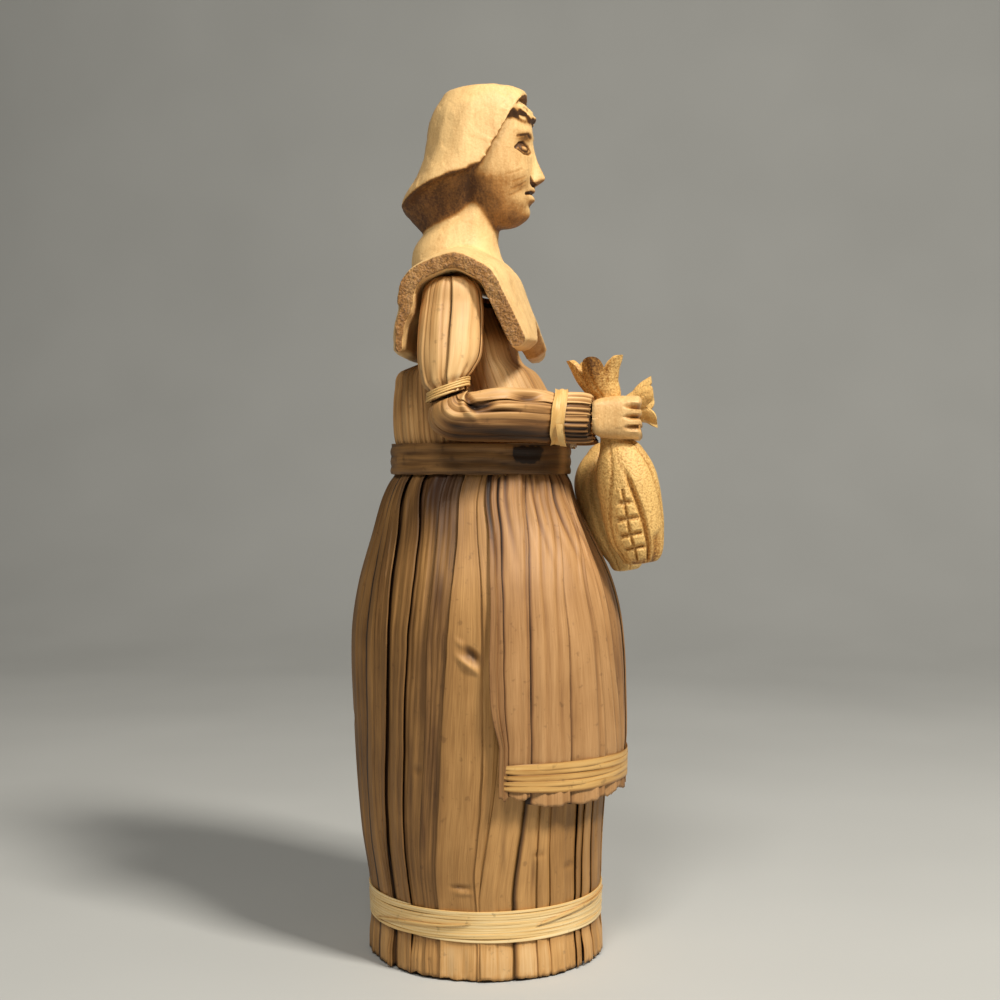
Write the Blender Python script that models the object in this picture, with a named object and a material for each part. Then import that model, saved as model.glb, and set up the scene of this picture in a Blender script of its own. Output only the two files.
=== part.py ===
"""Corn husk doll with a carved wooden bust.

A standing woman about 28 cm tall. A packed straw core carries leaf strips that hang as a long
skirt, an apron and a bodice. Raffia and a belt tie them. The head, hood and collar are one
carving on a dowel, and two sleeved arms on one bent wire hold two carved ears of corn.

The floor is at height zero, the middle of the skirt's base is the origin, and the doll faces -Y.
Lengths are in metres. A table whose name ends in shares holds fractions of named sizes.
"""

import math

import bmesh
import bpy
from mathutils import Matrix, Vector

# Gaps between neighbours that touch on the real doll
LEAF_GAP = 0.0005
WOOD_GAP = 0.0005
WIRE_GAP = 0.0004
SIDE_GAP = 0.0005

# Skirt of long leaf strips
SKIRT_HEIGHT = 0.1535
SKIRT_RADIUS = 0.0421
WAIST_RADIUS = 0.0270
SKIRT_SHIFT = 0.0034
STRIP_THICKNESS = 0.0016
STRIP_CROWN = 0.0006
FLOOR_GAP = 0.0003

# Each row: height, swell from waist to fullest radius, shift to the back, thickness
SKIRT_SHARES = (
    (0.000, 0.68, 0.00, 0.90),
    (0.078, 0.67, 0.05, 0.90),
    (0.143, 0.69, 0.08, 0.90),
    (0.260, 0.80, 0.40, 1.00),
    (0.489, 0.96, 0.42, 1.00),
    (0.664, 1.00, 0.46, 1.00),
    (0.769, 0.87, 0.42, 1.00),
    (0.879, 0.49, 0.74, 0.90),
    (0.945, 0.25, 0.95, 0.80),
    (0.980, 0.13, 0.80, 0.60),
)

# Belt, waist tie and the ends that they hold, as shares of the belt's width
BELT_WIDTH = 0.0100
BELT_THICKNESS = 0.0008
WAIST_SHIFT = 0.0018
TIE_DIAMETER = 0.0007
LEAF_END_THICKNESS = 0.0008
TUCK_BOTTOM_SHARE = 0.15
TUCK_TOP_SHARE = 0.60
TIE_BOTTOM_SHARE = 0.25
TIE_TOP_SHARE = 0.52
BODICE_BOTTOM_SHARE = 0.66

# Strip edges round the skirt, in degrees of arc that add up to a full turn
SKIRT_STRIP_DEGREES = (15, 14, 9.5, 11.5, 19.5, 22, 7.2, 14.4, 12.7, 19.1, 15.1,
                       20, 16, 23, 14, 22, 18, 24, 17, 22, 24)
SKIRT_START_DEGREES = -174

# Apron over the front half
APRON_LENGTH = 0.1010
APRON_HALF_DEGREES = 78
APRON_THICKNESS = 0.0010
APRON_TOP_STAND = 0.0016
APRON_FRONT_STAND = 0.0067
APRON_SIDE_STAND = 0.0045
APRON_STRIP_DEGREES = (3, 10, 17, 17, 12, 19, 20, 19, 20, 19)
APRON_CROWN = 0.0002

# Each row: drop down the apron, how far it has left the skirt
APRON_SHARES = (
    (0.03, 0.00),
    (0.15, 0.06),
    (0.33, 0.25),
    (0.50, 0.50),
    (0.76, 0.80),
    (0.90, 0.94),
    (1.00, 1.00),
)

# Raffia windings
RAFFIA_DIAMETER = 0.0008
HEM_LOOPS = 7
HEM_PITCH = 0.00135
HEM_MIDDLE = 0.0170
APRON_LOOPS = 4
APRON_PITCH = 0.0023
APRON_BAND_RISE = 0.0111
APRON_BAND_DROP = 0.0024
ELBOW_LOOPS = 3
ELBOW_PITCH = 0.0013
LOOP_POINTS = 24
ELBOW_LOOP_POINTS = 16

# Torso and bodice
TORSO_HALF_WIDTH = 0.0276
TORSO_HALF_DEPTH = 0.0268
TORSO_SHIFT = 0.0034
BODICE_THICKNESS = 0.0012
BODICE_STRIP_DEGREES = (44, 46, 40, 50, 44, 46, 40, 50)
BODICE_START_DEGREES = -172
BODICE_TOP_SHARE = 0.90

# Each row between belt and collar: height, half width, front and back depth
BODICE_SHARES = (
    (0.10, 1.00, 1.060, 1.000),
    (0.40, 1.00, 1.000, 1.010),
    (0.66, 0.98, 0.860, 0.985),
    (0.86, 0.94, 0.730, 0.925),
)

# Each row under the collar: height from its lower edge to the arm axis, half width
SHOULDER_SHARES = (
    (-0.04, 0.890),
    (0.35, 0.835),
    (0.68, 0.770),
    (0.89, 0.750),
)

# Each row of the core's top inside the arch: share of the arch's rise, half width
CHEST_SHARES = (
    (0.30, 0.74),
    (0.55, 0.73),
    (0.62, 0.71),
)

# Dowel up the neck and the arm wire through it
ARM_AXIS_RISE = 0.0535
ARM_AXIS_SHIFT = 0.0074
DOWEL_DIAMETER = 0.0090
DOWEL_ABOVE_AXIS = 0.0260
DOWEL_BELOW_AXIS = 0.0800
WIRE_DIAMETER = 0.0020

# Carved collar, a domed saddle over the shoulders
COLLAR_WIDTH = 0.0740
COLLAR_FRONT = 0.0197
COLLAR_BACK = 0.0142
COLLAR_ARCH = 0.0091
COLLAR_DROP = 0.0165
COLLAR_THICKNESS = 0.0049
COLLAR_DOME = 0.0045
NOTCH_WIDTH = 0.0170
NOTCH_HEIGHT = 0.0110

# Inner profile from the front edge over the arch to the back edge: share of the front or back
# reach, share of the arch's rise or the flaps' drop, thickness, doming
COLLAR_SHARES = (
    (-1.00, -0.93, 1.15, 0.90),
    (-0.82, -0.52, 1.15, 1.00),
    (-0.60, 0.08, 1.05, 1.10),
    (-0.48, 0.57, 1.00, 1.20),
    (-0.28, 0.84, 1.00, 1.30),
    (-0.06, 1.00, 1.00, 1.30),
    (0.39, 0.77, 1.00, 1.10),
    (0.61, 0.57, 1.00, 0.90),
    (0.72, 0.31, 1.00, 0.70),
    (0.80, -0.20, 0.95, 0.60),
    (0.95, -0.50, 0.75, 0.60),
    (1.00, -1.00, 0.65, 0.60),
)
COLLAR_STATION_SHARES = (-1.0, -0.66, -0.3, 0.0, 0.3, 0.66, 1.0)

# Head, hood and neck
CHIN_RISE = 0.0270
HEAD_HEIGHT = 0.0460
HEAD_DEPTH = 0.0470
HOOD_WIDTH = 0.0410
FACE_WIDTH = 0.0290
NOSE_LENGTH = 0.0031
NECK_WIDTH = 0.0225
CARVING_SIDES = 16

# Each row: height, front, back, half width, all against the head's named sizes
HOOD_SHARES = (
    (-0.02, -0.115, 0.279, 0.585),
    (0.05, -0.136, 0.406, 0.780),
    (0.14, -0.147, 0.440, 0.907),
    (0.22, -0.180, 0.417, 0.985),
    (0.30, -0.220, 0.366, 0.995),
    (0.39, -0.264, 0.319, 0.946),
    (0.50, -0.306, 0.281, 0.907),
    (0.63, -0.349, 0.251, 0.878),
    (0.76, -0.391, 0.230, 0.844),
    (0.86, -0.434, 0.196, 0.790),
    (0.93, -0.447, 0.150, 0.690),
    (0.97, -0.420, 0.085, 0.480),
    (1.00, -0.330, -0.030, 0.200),
)
# Each row as above, with how far the nose stands out there
FACE_SHARES = (
    (0.00, -0.360, 0.013, 0.45, 0.0),
    (0.08, -0.449, 0.098, 0.66, 0.0),
    (0.17, -0.483, 0.120, 0.81, 0.0),
    (0.27, -0.500, 0.130, 0.91, 0.1),
    (0.35, -0.504, 0.140, 0.96, 1.0),
    (0.48, -0.494, 0.140, 1.00, 0.6),
    (0.59, -0.487, 0.140, 1.00, 0.1),
    (0.70, -0.483, 0.120, 0.97, 0.0),
    (0.78, -0.466, 0.100, 0.90, 0.0),
    (0.85, -0.413, 0.050, 0.76, 0.0),
)
# Each row: height from collar to head, front, back, half width
NECK_SHARES = (
    (-0.59, -0.330, 0.310, 1.78),
    (-0.44, -0.296, 0.290, 1.38),
    (-0.30, -0.255, 0.268, 1.11),
    (-0.15, -0.243, 0.268, 1.00),
    (0.15, -0.250, 0.268, 0.98),
)
# Slanted front edge of the hood: two points in height and depth shares
HOOD_EDGE_SHARES = ((0.848, -0.428), (0.380, -0.164))

# Arms
UPPER_ARM = 0.0355
SLEEVE_HALF_DEPTH = 0.0099
SLEEVE_HALF_WIDTH = 0.0084
FOREARM_HALF = 0.0084
ARM_BODY_GAP = 0.0020
CUFF_X = 0.0175
SLEEVE_SIDES = 12
BAND_THICKNESS = 0.0009

# Each row of the upper sleeve: front edge across and down, back edge across and down,
# outward drift to the elbow, half width
SLEEVE_SHARES = (
    (-0.39, -0.196, 0.36, -0.196, 0.00, 0.42),
    (-0.81, -0.118, 0.80, -0.120, 0.00, 0.74),
    (-0.96, 0.030, 0.95, 0.030, 0.05, 0.87),
    (-1.00, 0.250, 1.00, 0.250, 0.33, 0.98),
    (-0.97, 0.480, 0.98, 0.510, 0.62, 1.00),
    (-0.75, 0.614, 0.81, 0.727, 0.84, 0.86),
    (-0.62, 0.654, 0.62, 0.777, 0.92, 0.71),
    (-0.62, 0.783, 0.62, 0.907, 1.00, 0.71),
)
# Each row of the forearm sleeve: upper edge along and up, lower edge along and up,
# outward place between cuff and elbow, half width
FOREARM_SHARES = (
    (0.141, 0.85, -0.136, 0.31, 1.00, 0.71),
    (0.152, 0.83, -0.118, -0.37, 1.00, 0.90),
    (0.168, 0.84, -0.002, -0.82, 0.99, 0.97),
    (0.236, 0.92, 0.236, -0.93, 0.93, 1.00),
    (0.395, 1.02, 0.395, -0.94, 0.83, 1.00),
    (0.555, 1.02, 0.555, -0.95, 0.63, 0.98),
    (0.670, 0.97, 0.670, -0.97, 0.48, 0.94),
    (0.820, 0.93, 0.820, -0.96, 0.28, 0.90),
    (1.000, 0.81, 1.000, -0.89, 0.00, 0.82),
)
BAND_ROWS = (6, 7)
# Wire through one arm below the shoulder, as along, up and outward shares of the forearm
WIRE_SHARES = (
    (0.03, 0.20, 1.00),
    (0.12, 0.03, 0.98),
    (0.236, 0.00, 0.93),
    (0.395, 0.03, 0.83),
    (0.555, 0.03, 0.63),
    (0.745, 0.00, 0.38),
    (1.000, -0.03, 0.00),
)
WIRE_SHOULDER_SHARES = (
    (-0.18, 0.00),
    (-0.04, 0.02),
    (0.02, 0.07),
    (0.07, 0.14),
    (0.25, 0.26),
    (0.62, 0.50),
    (0.92, 0.72),
    (1.00, 0.86),
)
WIRE_INTO_HAND = 0.0035

# Hands and ears of corn
HAND_LENGTH = 0.0125
HAND_HALF_WIDTH = 0.0066
HAND_HALF_HEIGHT = 0.0068
FINGER_COUNT = 4
FINGER_PROUD = 0.0007
FINGER_LENGTH_SHARE = 0.62
FINGER_WIDTH_SHARE = 0.86
FINGER_EDGE_SHARE = 0.25
FINGER_MIDDLE_SHARE = 0.72
FIST_OUT_SHARE = 0.30
FIST_SQUARENESS = 0.6
PALM_SHARE = 0.30
EAR_LENGTH = 0.0420
EAR_RADIUS = 0.0098
EAR_SIDES = 12
LOBE_SHARE = 0.17

# Hand sections: along from the cuff, half width and half height, drift towards the middle
HAND_SHARES = (
    (0.00, 0.72, 0.72, 0.75),
    (0.20, 0.92, 0.92, 0.45),
    (0.55, 1.00, 1.00, 0.10),
    (0.92, 0.98, 1.00, 0.00),
    (1.00, 0.86, 0.90, 0.00),
)
# Each row from tip to crown: forward and up from the grip as shares of the length, radius
RIGHT_EAR_SHARES = (
    (0.245, -1.085, 0.52),
    (0.235, -0.985, 0.78),
    (0.205, -0.860, 0.93),
    (0.170, -0.640, 1.00),
    (0.130, -0.440, 0.97),
    (0.080, -0.270, 0.76),
    (0.045, -0.170, 0.48),
    (0.012, 0.000, 0.34),
    (-0.010, 0.170, 0.34),
    (-0.050, 0.250, 0.52),
    (-0.080, 0.350, 0.78),
    (-0.092, 0.440, 0.88),
)
LEFT_EAR_SHARES = (
    (0.125, -1.170, 0.42),
    (0.115, -1.070, 0.66),
    (0.070, -0.900, 0.90),
    (-0.005, -0.690, 1.00),
    (-0.060, -0.480, 0.97),
    (-0.020, -0.300, 0.70),
    (0.030, -0.190, 0.44),
    (0.030, -0.030, 0.34),
    (0.140, 0.080, 0.38),
    (0.220, 0.110, 0.52),
    (0.280, 0.125, 0.76),
    (0.340, 0.135, 0.86),
)
CROWN_ROWS = 3

# Finishes: linear colour, roughness
FINISHES = {
    "linden": ((0.68, 0.46, 0.23), 0.62),
    "ear_wood": ((0.70, 0.46, 0.20), 0.60),
    "skirt_leaf": ((0.36, 0.21, 0.10), 0.55),
    "apron_leaf": ((0.45, 0.28, 0.16), 0.55),
    "sleeve_leaf": ((0.50, 0.31, 0.16), 0.55),
    "raffia": ((0.66, 0.46, 0.20), 0.45),
    "straw": ((0.40, 0.27, 0.12), 0.75),
    "wire": ((0.45, 0.44, 0.42), 0.35),
}
SMOOTH_ANGLE = math.radians(40)

# Levels that the sizes above settle
GRIP_X = EAR_RADIUS + WOOD_GAP
BELT_BOTTOM = SKIRT_HEIGHT
BELT_TOP = SKIRT_HEIGHT + BELT_WIDTH
ARM_AXIS_Z = SKIRT_HEIGHT + ARM_AXIS_RISE
COLLAR_BOTTOM = ARM_AXIS_Z - COLLAR_DROP
FOREARM_Z = ARM_AXIS_Z - UPPER_ARM
CHIN_Z = ARM_AXIS_Z + CHIN_RISE
APRON_BOTTOM = SKIRT_HEIGHT - APRON_LENGTH
LAYER_TUCK = APRON_THICKNESS + LEAF_GAP
TIE_OUTER = WAIST_RADIUS + LEAF_GAP + TIE_DIAMETER
BELT_OUTER = TIE_OUTER + LEAF_GAP + BELT_THICKNESS


def clear_scene():
    """Remove whatever the file held."""
    for thing in list(bpy.data.objects):
        bpy.data.objects.remove(thing)


def finish_material(name):
    """Make or find the Principled material of one finish."""
    material = bpy.data.materials.get(name)
    if material is None:
        colour, roughness = FINISHES[name]
        material = bpy.data.materials.new(name)
        material.use_nodes = True
        shader = material.node_tree.nodes["Principled BSDF"]
        shader.inputs["Base Color"].default_value = (*colour, 1)
        shader.inputs["Roughness"].default_value = roughness
        metal = 1 if name == "wire" else 0
        shader.inputs["Metallic"].default_value = metal
    return material


def add_object(name, mesh, finish):
    """Put a mesh in the scene under a part name."""
    thing = bpy.data.objects.new(name, mesh)
    bpy.context.scene.collection.objects.link(thing)
    if not mesh.materials:
        mesh.materials.append(finish_material(finish))
    return thing


def to_mesh(name, bm):
    """Close the edit, face everything out and shade it smooth between its sharp edges."""
    bmesh.ops.recalc_face_normals(bm, faces=bm.faces)
    mesh = bpy.data.meshes.new(name)
    bm.to_mesh(mesh)
    bm.free()
    mesh.shade_smooth()
    mesh.set_sharp_from_angle(angle=SMOOTH_ANGLE)
    return mesh


def extrude_ring(bm, corners, edges, points):
    """Extrude a closed ring of edges and put its new corners on the given points."""
    made = bmesh.ops.extrude_edge_only(bm, edges=edges)["geom"]
    fresh = {item for item in made if isinstance(item, bmesh.types.BMVert)}
    moved = []
    for corner, point in zip(corners, points):
        partner = next(e.other_vert(corner) for e in corner.link_edges
                       if e.other_vert(corner) in fresh)
        moved.append(partner)
    for partner, point in zip(moved, points):
        partner.co = point
    lines = [item for item in made if isinstance(item, bmesh.types.BMEdge)
             and fresh.issuperset(item.verts)]
    return moved, lines


def loft(name, rings, finish, closed=False):
    """Skin a row of rings that have their points in the same order."""
    bm = bmesh.new()
    corners = [bm.verts.new(point) for point in rings[0]]
    first = corners
    edges = [bm.edges.new((corners[i - 1], corners[i])) for i in range(len(corners))]
    if not closed:
        bm.faces.new(corners)
    for ring in rings[1:]:
        corners, edges = extrude_ring(bm, corners, edges, ring)
    if closed:
        corners, edges = extrude_ring(bm, corners, edges, rings[0])
        weld = {late: early for late, early in zip(corners, first)}
        bmesh.ops.weld_verts(bm, targetmap=weld)
    else:
        bm.faces.new(corners)
    return add_object(name, to_mesh(name, bm), finish)


def combine(body, tool, operation):
    """Join the tool to the body or cut it away, and drop the tool."""
    change = body.modifiers.new(operation.title(), "BOOLEAN")
    change.operation = operation
    change.solver = "EXACT"
    change.object = tool
    tool.hide_render = True
    tool.display_type = "WIRE"
    graph = bpy.context.evaluated_depsgraph_get()
    finished = bpy.data.meshes.new_from_object(body.evaluated_get(graph))
    body.modifiers.remove(change)
    body.data = finished
    bpy.data.objects.remove(tool)
    return body


def between(rows, place, column):
    """Read one column of a table of rows at a place along its first column."""
    for low, high in zip(rows, rows[1:]):
        if place <= high[0]:
            share = (place - low[0]) / (high[0] - low[0])
            return low[column] + share * (high[column] - low[column])
    return rows[-1][column]


def oval(front, back, half_width, height, sides, nose=0):
    """A level egg-shaped ring whose first point is at the front."""
    middle = (front + back) / 2
    reach = (back - front) / 2
    ring = []
    for step in range(sides):
        turn = 2 * math.pi * step / sides
        ahead = nose if step == 0 else 0
        ring.append(Vector((half_width * math.sin(turn),
                            middle - reach * math.cos(turn) - ahead, height)))
    return ring


def leaf_section(shape, start, end, height, outer, inner, crown, across):
    """A crowned slice of one leaf strip between two angles, outer side first."""
    ring = []
    for step in range(across + 1):
        share = step / across
        turn = start + (end - start) * share
        bulge = crown * (1 - (2 * share - 1) ** 2) - crown
        ring.append(shape(turn, outer + bulge, height))
    for step in range(across, -1, -1):
        share = step / across
        turn = start + (end - start) * share
        ring.append(shape(turn, inner, height))
    return ring


def strip_angles(start, widths):
    """The pairs of angles between which the strips lie, in radians from the front."""
    pairs = []
    edge = start
    for width in widths:
        pairs.append((math.radians(edge), math.radians(edge + width)))
        edge += width
    return pairs


def skirt_rows():
    """Height, outer radius, shift, thickness and apron tuck of the skirt, floor to belt."""
    rows = []
    for height, swell, shift, thick in SKIRT_SHARES:
        z = max(height * SKIRT_HEIGHT, FLOOR_GAP)
        radius = WAIST_RADIUS + swell * (SKIRT_RADIUS - WAIST_RADIUS)
        rows.append((z, radius, shift * SKIRT_SHIFT, thick * STRIP_THICKNESS, 0))
    for share in (TUCK_BOTTOM_SHARE, TUCK_TOP_SHARE):
        z = BELT_BOTTOM + share * BELT_WIDTH
        rows.append((z, WAIST_RADIUS, WAIST_SHIFT, LEAF_END_THICKNESS, 1))
    return rows


def round_point(shift):
    """A shape function for circles whose middle is shifted to the back."""
    def shape(turn, radius, height):
        return Vector((radius * math.sin(turn), shift - radius * math.cos(turn), height))
    return shape


def under_apron(start, end):
    """One where the apron lies over a strip, else nothing."""
    half = math.radians(APRON_HALF_DEGREES)
    return 1 if start < half and end > -half else 0


def make_skirt_core():
    """Packed straw under the skirt, flat underneath, on which the doll stands."""
    sides = LOOP_POINTS
    rings = []
    for z, radius, shift, thick, tuck in skirt_rows():
        solid = radius - thick - LEAF_GAP - tuck * LAYER_TUCK
        height = 0 if z <= FLOOR_GAP else z
        shape = round_point(shift)
        rings.append([shape(2 * math.pi * i / sides, solid, height) for i in range(sides)])
    core = loft("skirt_core", rings, "straw")
    return combine(core, dowel_bore("skirt_core_bore"), "DIFFERENCE")


def make_skirt_strips():
    """Long leaf strips side by side all round, their tops under the belt."""
    pairs = strip_angles(SKIRT_START_DEGREES, SKIRT_STRIP_DEGREES)
    for number, (start, end) in enumerate(pairs, 1):
        across = 3 if end - start > math.radians(17) else 2
        tuck_here = under_apron(start, end)
        rings = []
        for z, radius, shift, thick, tuck in skirt_rows():
            outer = radius - tuck * tuck_here * LAYER_TUCK
            gap = SIDE_GAP / 2 / outer
            crown = STRIP_CROWN if not tuck else 0
            rings.append(leaf_section(round_point(shift), start + gap, end - gap, z,
                                      outer, outer - thick, crown, across))
        loft(f"skirt_strip_{number:02d}", rings, "skirt_leaf")


def skirt_surface(height):
    """Outer radius and shift of the skirt at a height."""
    rows = skirt_rows()
    return between(rows, height, 1), between(rows, height, 2)


def apron_stand(turn, share):
    """How far the apron's outer side stands off the skirt at an angle and a share of drop."""
    side = math.sin(turn) ** 2
    full = APRON_FRONT_STAND + (APRON_SIDE_STAND - APRON_FRONT_STAND) * side
    return APRON_TOP_STAND + (full - APRON_TOP_STAND) * share


def apron_rows():
    """Height and standing share of the apron from its top end down."""
    rows = []
    for drop, share in reversed(APRON_SHARES):
        rows.append((BELT_BOTTOM - drop * APRON_LENGTH, share))
    return rows


def apron_point(turn, depth, height):
    """A point of the apron's leaning surface, or that far outside it."""
    radius, shift = skirt_surface(height)
    share = between(apron_rows(), height, 1)
    reach = radius + apron_stand(turn, share) + depth
    return Vector((reach * math.sin(turn), shift - reach * math.cos(turn), height))


def make_apron_strips():
    """Shorter strips over the front, leaning out from the belt to their cut ends."""
    pairs = strip_angles(-APRON_HALF_DEGREES, APRON_STRIP_DEGREES)
    for number, (start, end) in enumerate(pairs, 1):
        rings = []
        for height, share in apron_rows():
            gap = SIDE_GAP / 2 / skirt_surface(height)[0]
            rings.append(leaf_section(apron_point, start + gap, end - gap, height,
                                      0, -APRON_THICKNESS, APRON_CROWN, 2))
        for share in (TUCK_BOTTOM_SHARE, TUCK_TOP_SHARE):
            height = BELT_BOTTOM + share * BELT_WIDTH
            gap = SIDE_GAP / 2 / WAIST_RADIUS
            outer = WAIST_RADIUS
            rings.append(leaf_section(round_point(WAIST_SHIFT), start + gap, end - gap, height,
                                      outer, outer - APRON_THICKNESS, 0, 2))
        loft(f"apron_strip_{number:02d}", rings, "apron_leaf")


def make_ring(name, low, high, inner, outer, shift, finish):
    """A flat band round the waist."""
    sides = LOOP_POINTS + LOOP_POINTS // 2
    shape = round_point(shift)
    swell = (outer - inner) / 3
    rings = []
    for radius, height in ((inner, low), (outer - swell, low), (outer, (low + high) / 2),
                           (outer - swell, high), (inner, high)):
        rings.append([shape(2 * math.pi * i / sides, radius, height) for i in range(sides)])
    return loft(name, rings, finish, closed=True)


def make_waist_ties():
    """The string that holds the leaf ends, and the belt that hides it."""
    grip = WAIST_RADIUS + LEAF_GAP
    make_ring("waist_tie", BELT_BOTTOM + TIE_BOTTOM_SHARE * BELT_WIDTH,
              BELT_BOTTOM + TIE_TOP_SHARE * BELT_WIDTH, grip, TIE_OUTER, WAIST_SHIFT, "raffia")
    make_ring("belt", BELT_BOTTOM, BELT_TOP, TIE_OUTER + LEAF_GAP, BELT_OUTER, WAIST_SHIFT,
              "skirt_leaf")


def least_gap(points, diameter, apart):
    """The smallest clear distance between parts of a winding that are not neighbours."""
    best = math.inf
    for first in range(len(points) - 1):
        for second in range(first + apart, len(points) - 1):
            best = min(best, segment_distance(points[first], points[first + 1],
                                              points[second], points[second + 1]))
    return best - diameter


def segment_distance(start_a, end_a, start_b, end_b):
    """Smallest distance between two short straight runs, read at points along them."""
    steps = 4
    near = math.inf
    for i in range(steps + 1):
        on_a = start_a.lerp(end_a, i / steps)
        for j in range(steps + 1):
            near = min(near, (on_a - start_b.lerp(end_b, j / steps)).length)
    return near


def wind(name, route, loops, loop_points, diameter, finish):
    """One unbroken tube along a route that is read by turns, with short straight ends."""
    steps = loops * loop_points
    points = [route(step / loop_points) for step in range(steps + 1)]
    lead = (points[0] - points[1]).normalized() * diameter
    tail = (points[-1] - points[-2]).normalized() * diameter
    points = [points[0] + lead, *points, points[-1] + tail]
    gap = least_gap(points, diameter, loop_points // 2)
    print(f"{name}: {loops} loops, least gap to itself {gap * 1000:.2f} mm")
    return add_tube(name, points, diameter, finish)


def add_tube(name, points, diameter, finish):
    """A round tube with filled ends on a polyline."""
    curve = bpy.data.curves.new(name, "CURVE")
    curve.dimensions = "3D"
    curve.bevel_depth = diameter / 2
    curve.bevel_resolution = 1
    curve.use_fill_caps = True
    line = curve.splines.new("POLY")
    line.points.add(len(points) - 1)
    for knot, point in zip(line.points, points):
        knot.co = (*point, 1)
    thing = bpy.data.objects.new(name, curve)
    bpy.context.scene.collection.objects.link(thing)
    curve.materials.append(finish_material(finish))
    return thing


def chord_allowance(radius, count):
    """How far a polygon's sides cut inside its circle."""
    return radius * (1 - math.cos(math.pi / count))


def make_hem_binding():
    """Raffia wound round the skirt near the floor."""
    radius, shift = skirt_surface(HEM_MIDDLE)
    reach = radius + LEAF_GAP + RAFFIA_DIAMETER / 2 + chord_allowance(radius, LOOP_POINTS)
    shape = round_point(shift)
    bottom = HEM_MIDDLE - HEM_LOOPS * HEM_PITCH / 2

    def route(turn):
        return shape(2 * math.pi * turn, reach, bottom + turn * HEM_PITCH)

    wind("hem_binding", route, HEM_LOOPS, LOOP_POINTS, RAFFIA_DIAMETER, "raffia")


def make_apron_binding():
    """Raffia wound round the apron's strips alone, in front of them and behind."""
    half = math.radians(APRON_HALF_DEGREES)
    over = LEAF_GAP + RAFFIA_DIAMETER / 2
    sag = chord_allowance(SKIRT_RADIUS, LOOP_POINTS)
    front_depth = over + sag
    back_depth = -APRON_THICKNESS - over
    end_turn = half + over / SKIRT_RADIUS
    run_points = LOOP_POINTS // 2
    bottom = APRON_BOTTOM + APRON_BAND_RISE - APRON_LOOPS * APRON_PITCH / 2
    shape = apron_point

    def route(turn):
        share = turn % 1
        if share < 0.5:
            swing = -end_turn + 2 * end_turn * min(share * 2 * run_points / (run_points - 1), 1)
            depth = front_depth
        else:
            swing = end_turn - 2 * end_turn * min((share - 0.5) * 2 * run_points
                                                  / (run_points - 1), 1)
            depth = back_depth
        lean = APRON_BAND_DROP * (1 - abs(swing) / end_turn)
        return shape(swing, depth, bottom + turn * APRON_PITCH - lean)

    wind("apron_binding", route, APRON_LOOPS, LOOP_POINTS, RAFFIA_DIAMETER, "raffia")


def collar_inner():
    """Inner profile of the collar as depth and height about the arm axis, front to back."""
    profile = []
    for along, up, thick, dome in COLLAR_SHARES:
        reach = COLLAR_FRONT if along < 0 else COLLAR_BACK
        rise = COLLAR_DROP if up < 0 else COLLAR_ARCH
        profile.append((along * reach, up * rise, thick, dome))
    return profile


def collar_depth(height, back):
    """Depth of the collar's inner side at a height about the axis, in front or behind."""
    profile = [row for row in collar_inner() if (row[0] > 0) == back]
    rows = sorted((row[1], row[0]) for row in profile)
    if height <= rows[0][0]:
        return rows[0][1]
    return between(rows, height, 1)


def torso_rows(with_top):
    """Height, front, back and half width of the bodice's outside, belt to shoulders."""
    rows = [(BELT_BOTTOM + BODICE_BOTTOM_SHARE * BELT_WIDTH, WAIST_SHIFT - WAIST_RADIUS,
             WAIST_SHIFT + WAIST_RADIUS, WAIST_RADIUS)]
    span = COLLAR_BOTTOM - BELT_TOP
    for up, width, front, back in BODICE_SHARES:
        rows.append((BELT_TOP + up * span, TORSO_SHIFT - front * TORSO_HALF_DEPTH,
                     TORSO_SHIFT + back * TORSO_HALF_DEPTH, width * TORSO_HALF_WIDTH))
    for up, width in SHOULDER_SHARES:
        level = -COLLAR_DROP + up * COLLAR_DROP
        rows.append((ARM_AXIS_Z + level,
                     ARM_AXIS_SHIFT + collar_depth(level, False) + WOOD_GAP,
                     ARM_AXIS_SHIFT + collar_depth(level, True) - WOOD_GAP,
                     width * TORSO_HALF_WIDTH))
    if with_top:
        for up, width in CHEST_SHARES:
            level = up * COLLAR_ARCH
            rows.append((ARM_AXIS_Z + level,
                         ARM_AXIS_SHIFT + collar_depth(level, False) + WOOD_GAP,
                         ARM_AXIS_SHIFT + collar_depth(level, True) - WOOD_GAP,
                         width * TORSO_HALF_WIDTH))
    return rows


def torso_point(front, back, half_width):
    """A shape function for one level of the torso, with depth measured inwards."""
    middle = (front + back) / 2
    reach = (back - front) / 2

    def shape(turn, depth, height):
        return Vector(((half_width + depth) * math.sin(turn),
                       middle - (reach + depth) * math.cos(turn), height))
    return shape


def axis_line(name, reach, diameter, sides):
    """A rod along the arms' turning axis."""
    bm = bmesh.new()
    bmesh.ops.create_cone(bm, cap_ends=True, segments=sides, radius1=diameter / 2,
                          radius2=diameter / 2, depth=2 * reach)
    turn = Matrix.Rotation(math.pi / 2, 4, "Y")
    place = Matrix.Translation((0, ARM_AXIS_SHIFT, ARM_AXIS_Z))
    bmesh.ops.transform(bm, matrix=place @ turn, verts=bm.verts)
    return add_object(name, to_mesh(name, bm), "straw")


def upright(name, low, high, diameter, sides, finish):
    """A round rod on the doll's neck line."""
    bm = bmesh.new()
    bmesh.ops.create_cone(bm, cap_ends=True, segments=sides, radius1=diameter / 2,
                          radius2=diameter / 2, depth=high - low)
    middle = (0, ARM_AXIS_SHIFT, (low + high) / 2)
    bmesh.ops.translate(bm, vec=middle, verts=bm.verts)
    return add_object(name, to_mesh(name, bm), finish)


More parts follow.
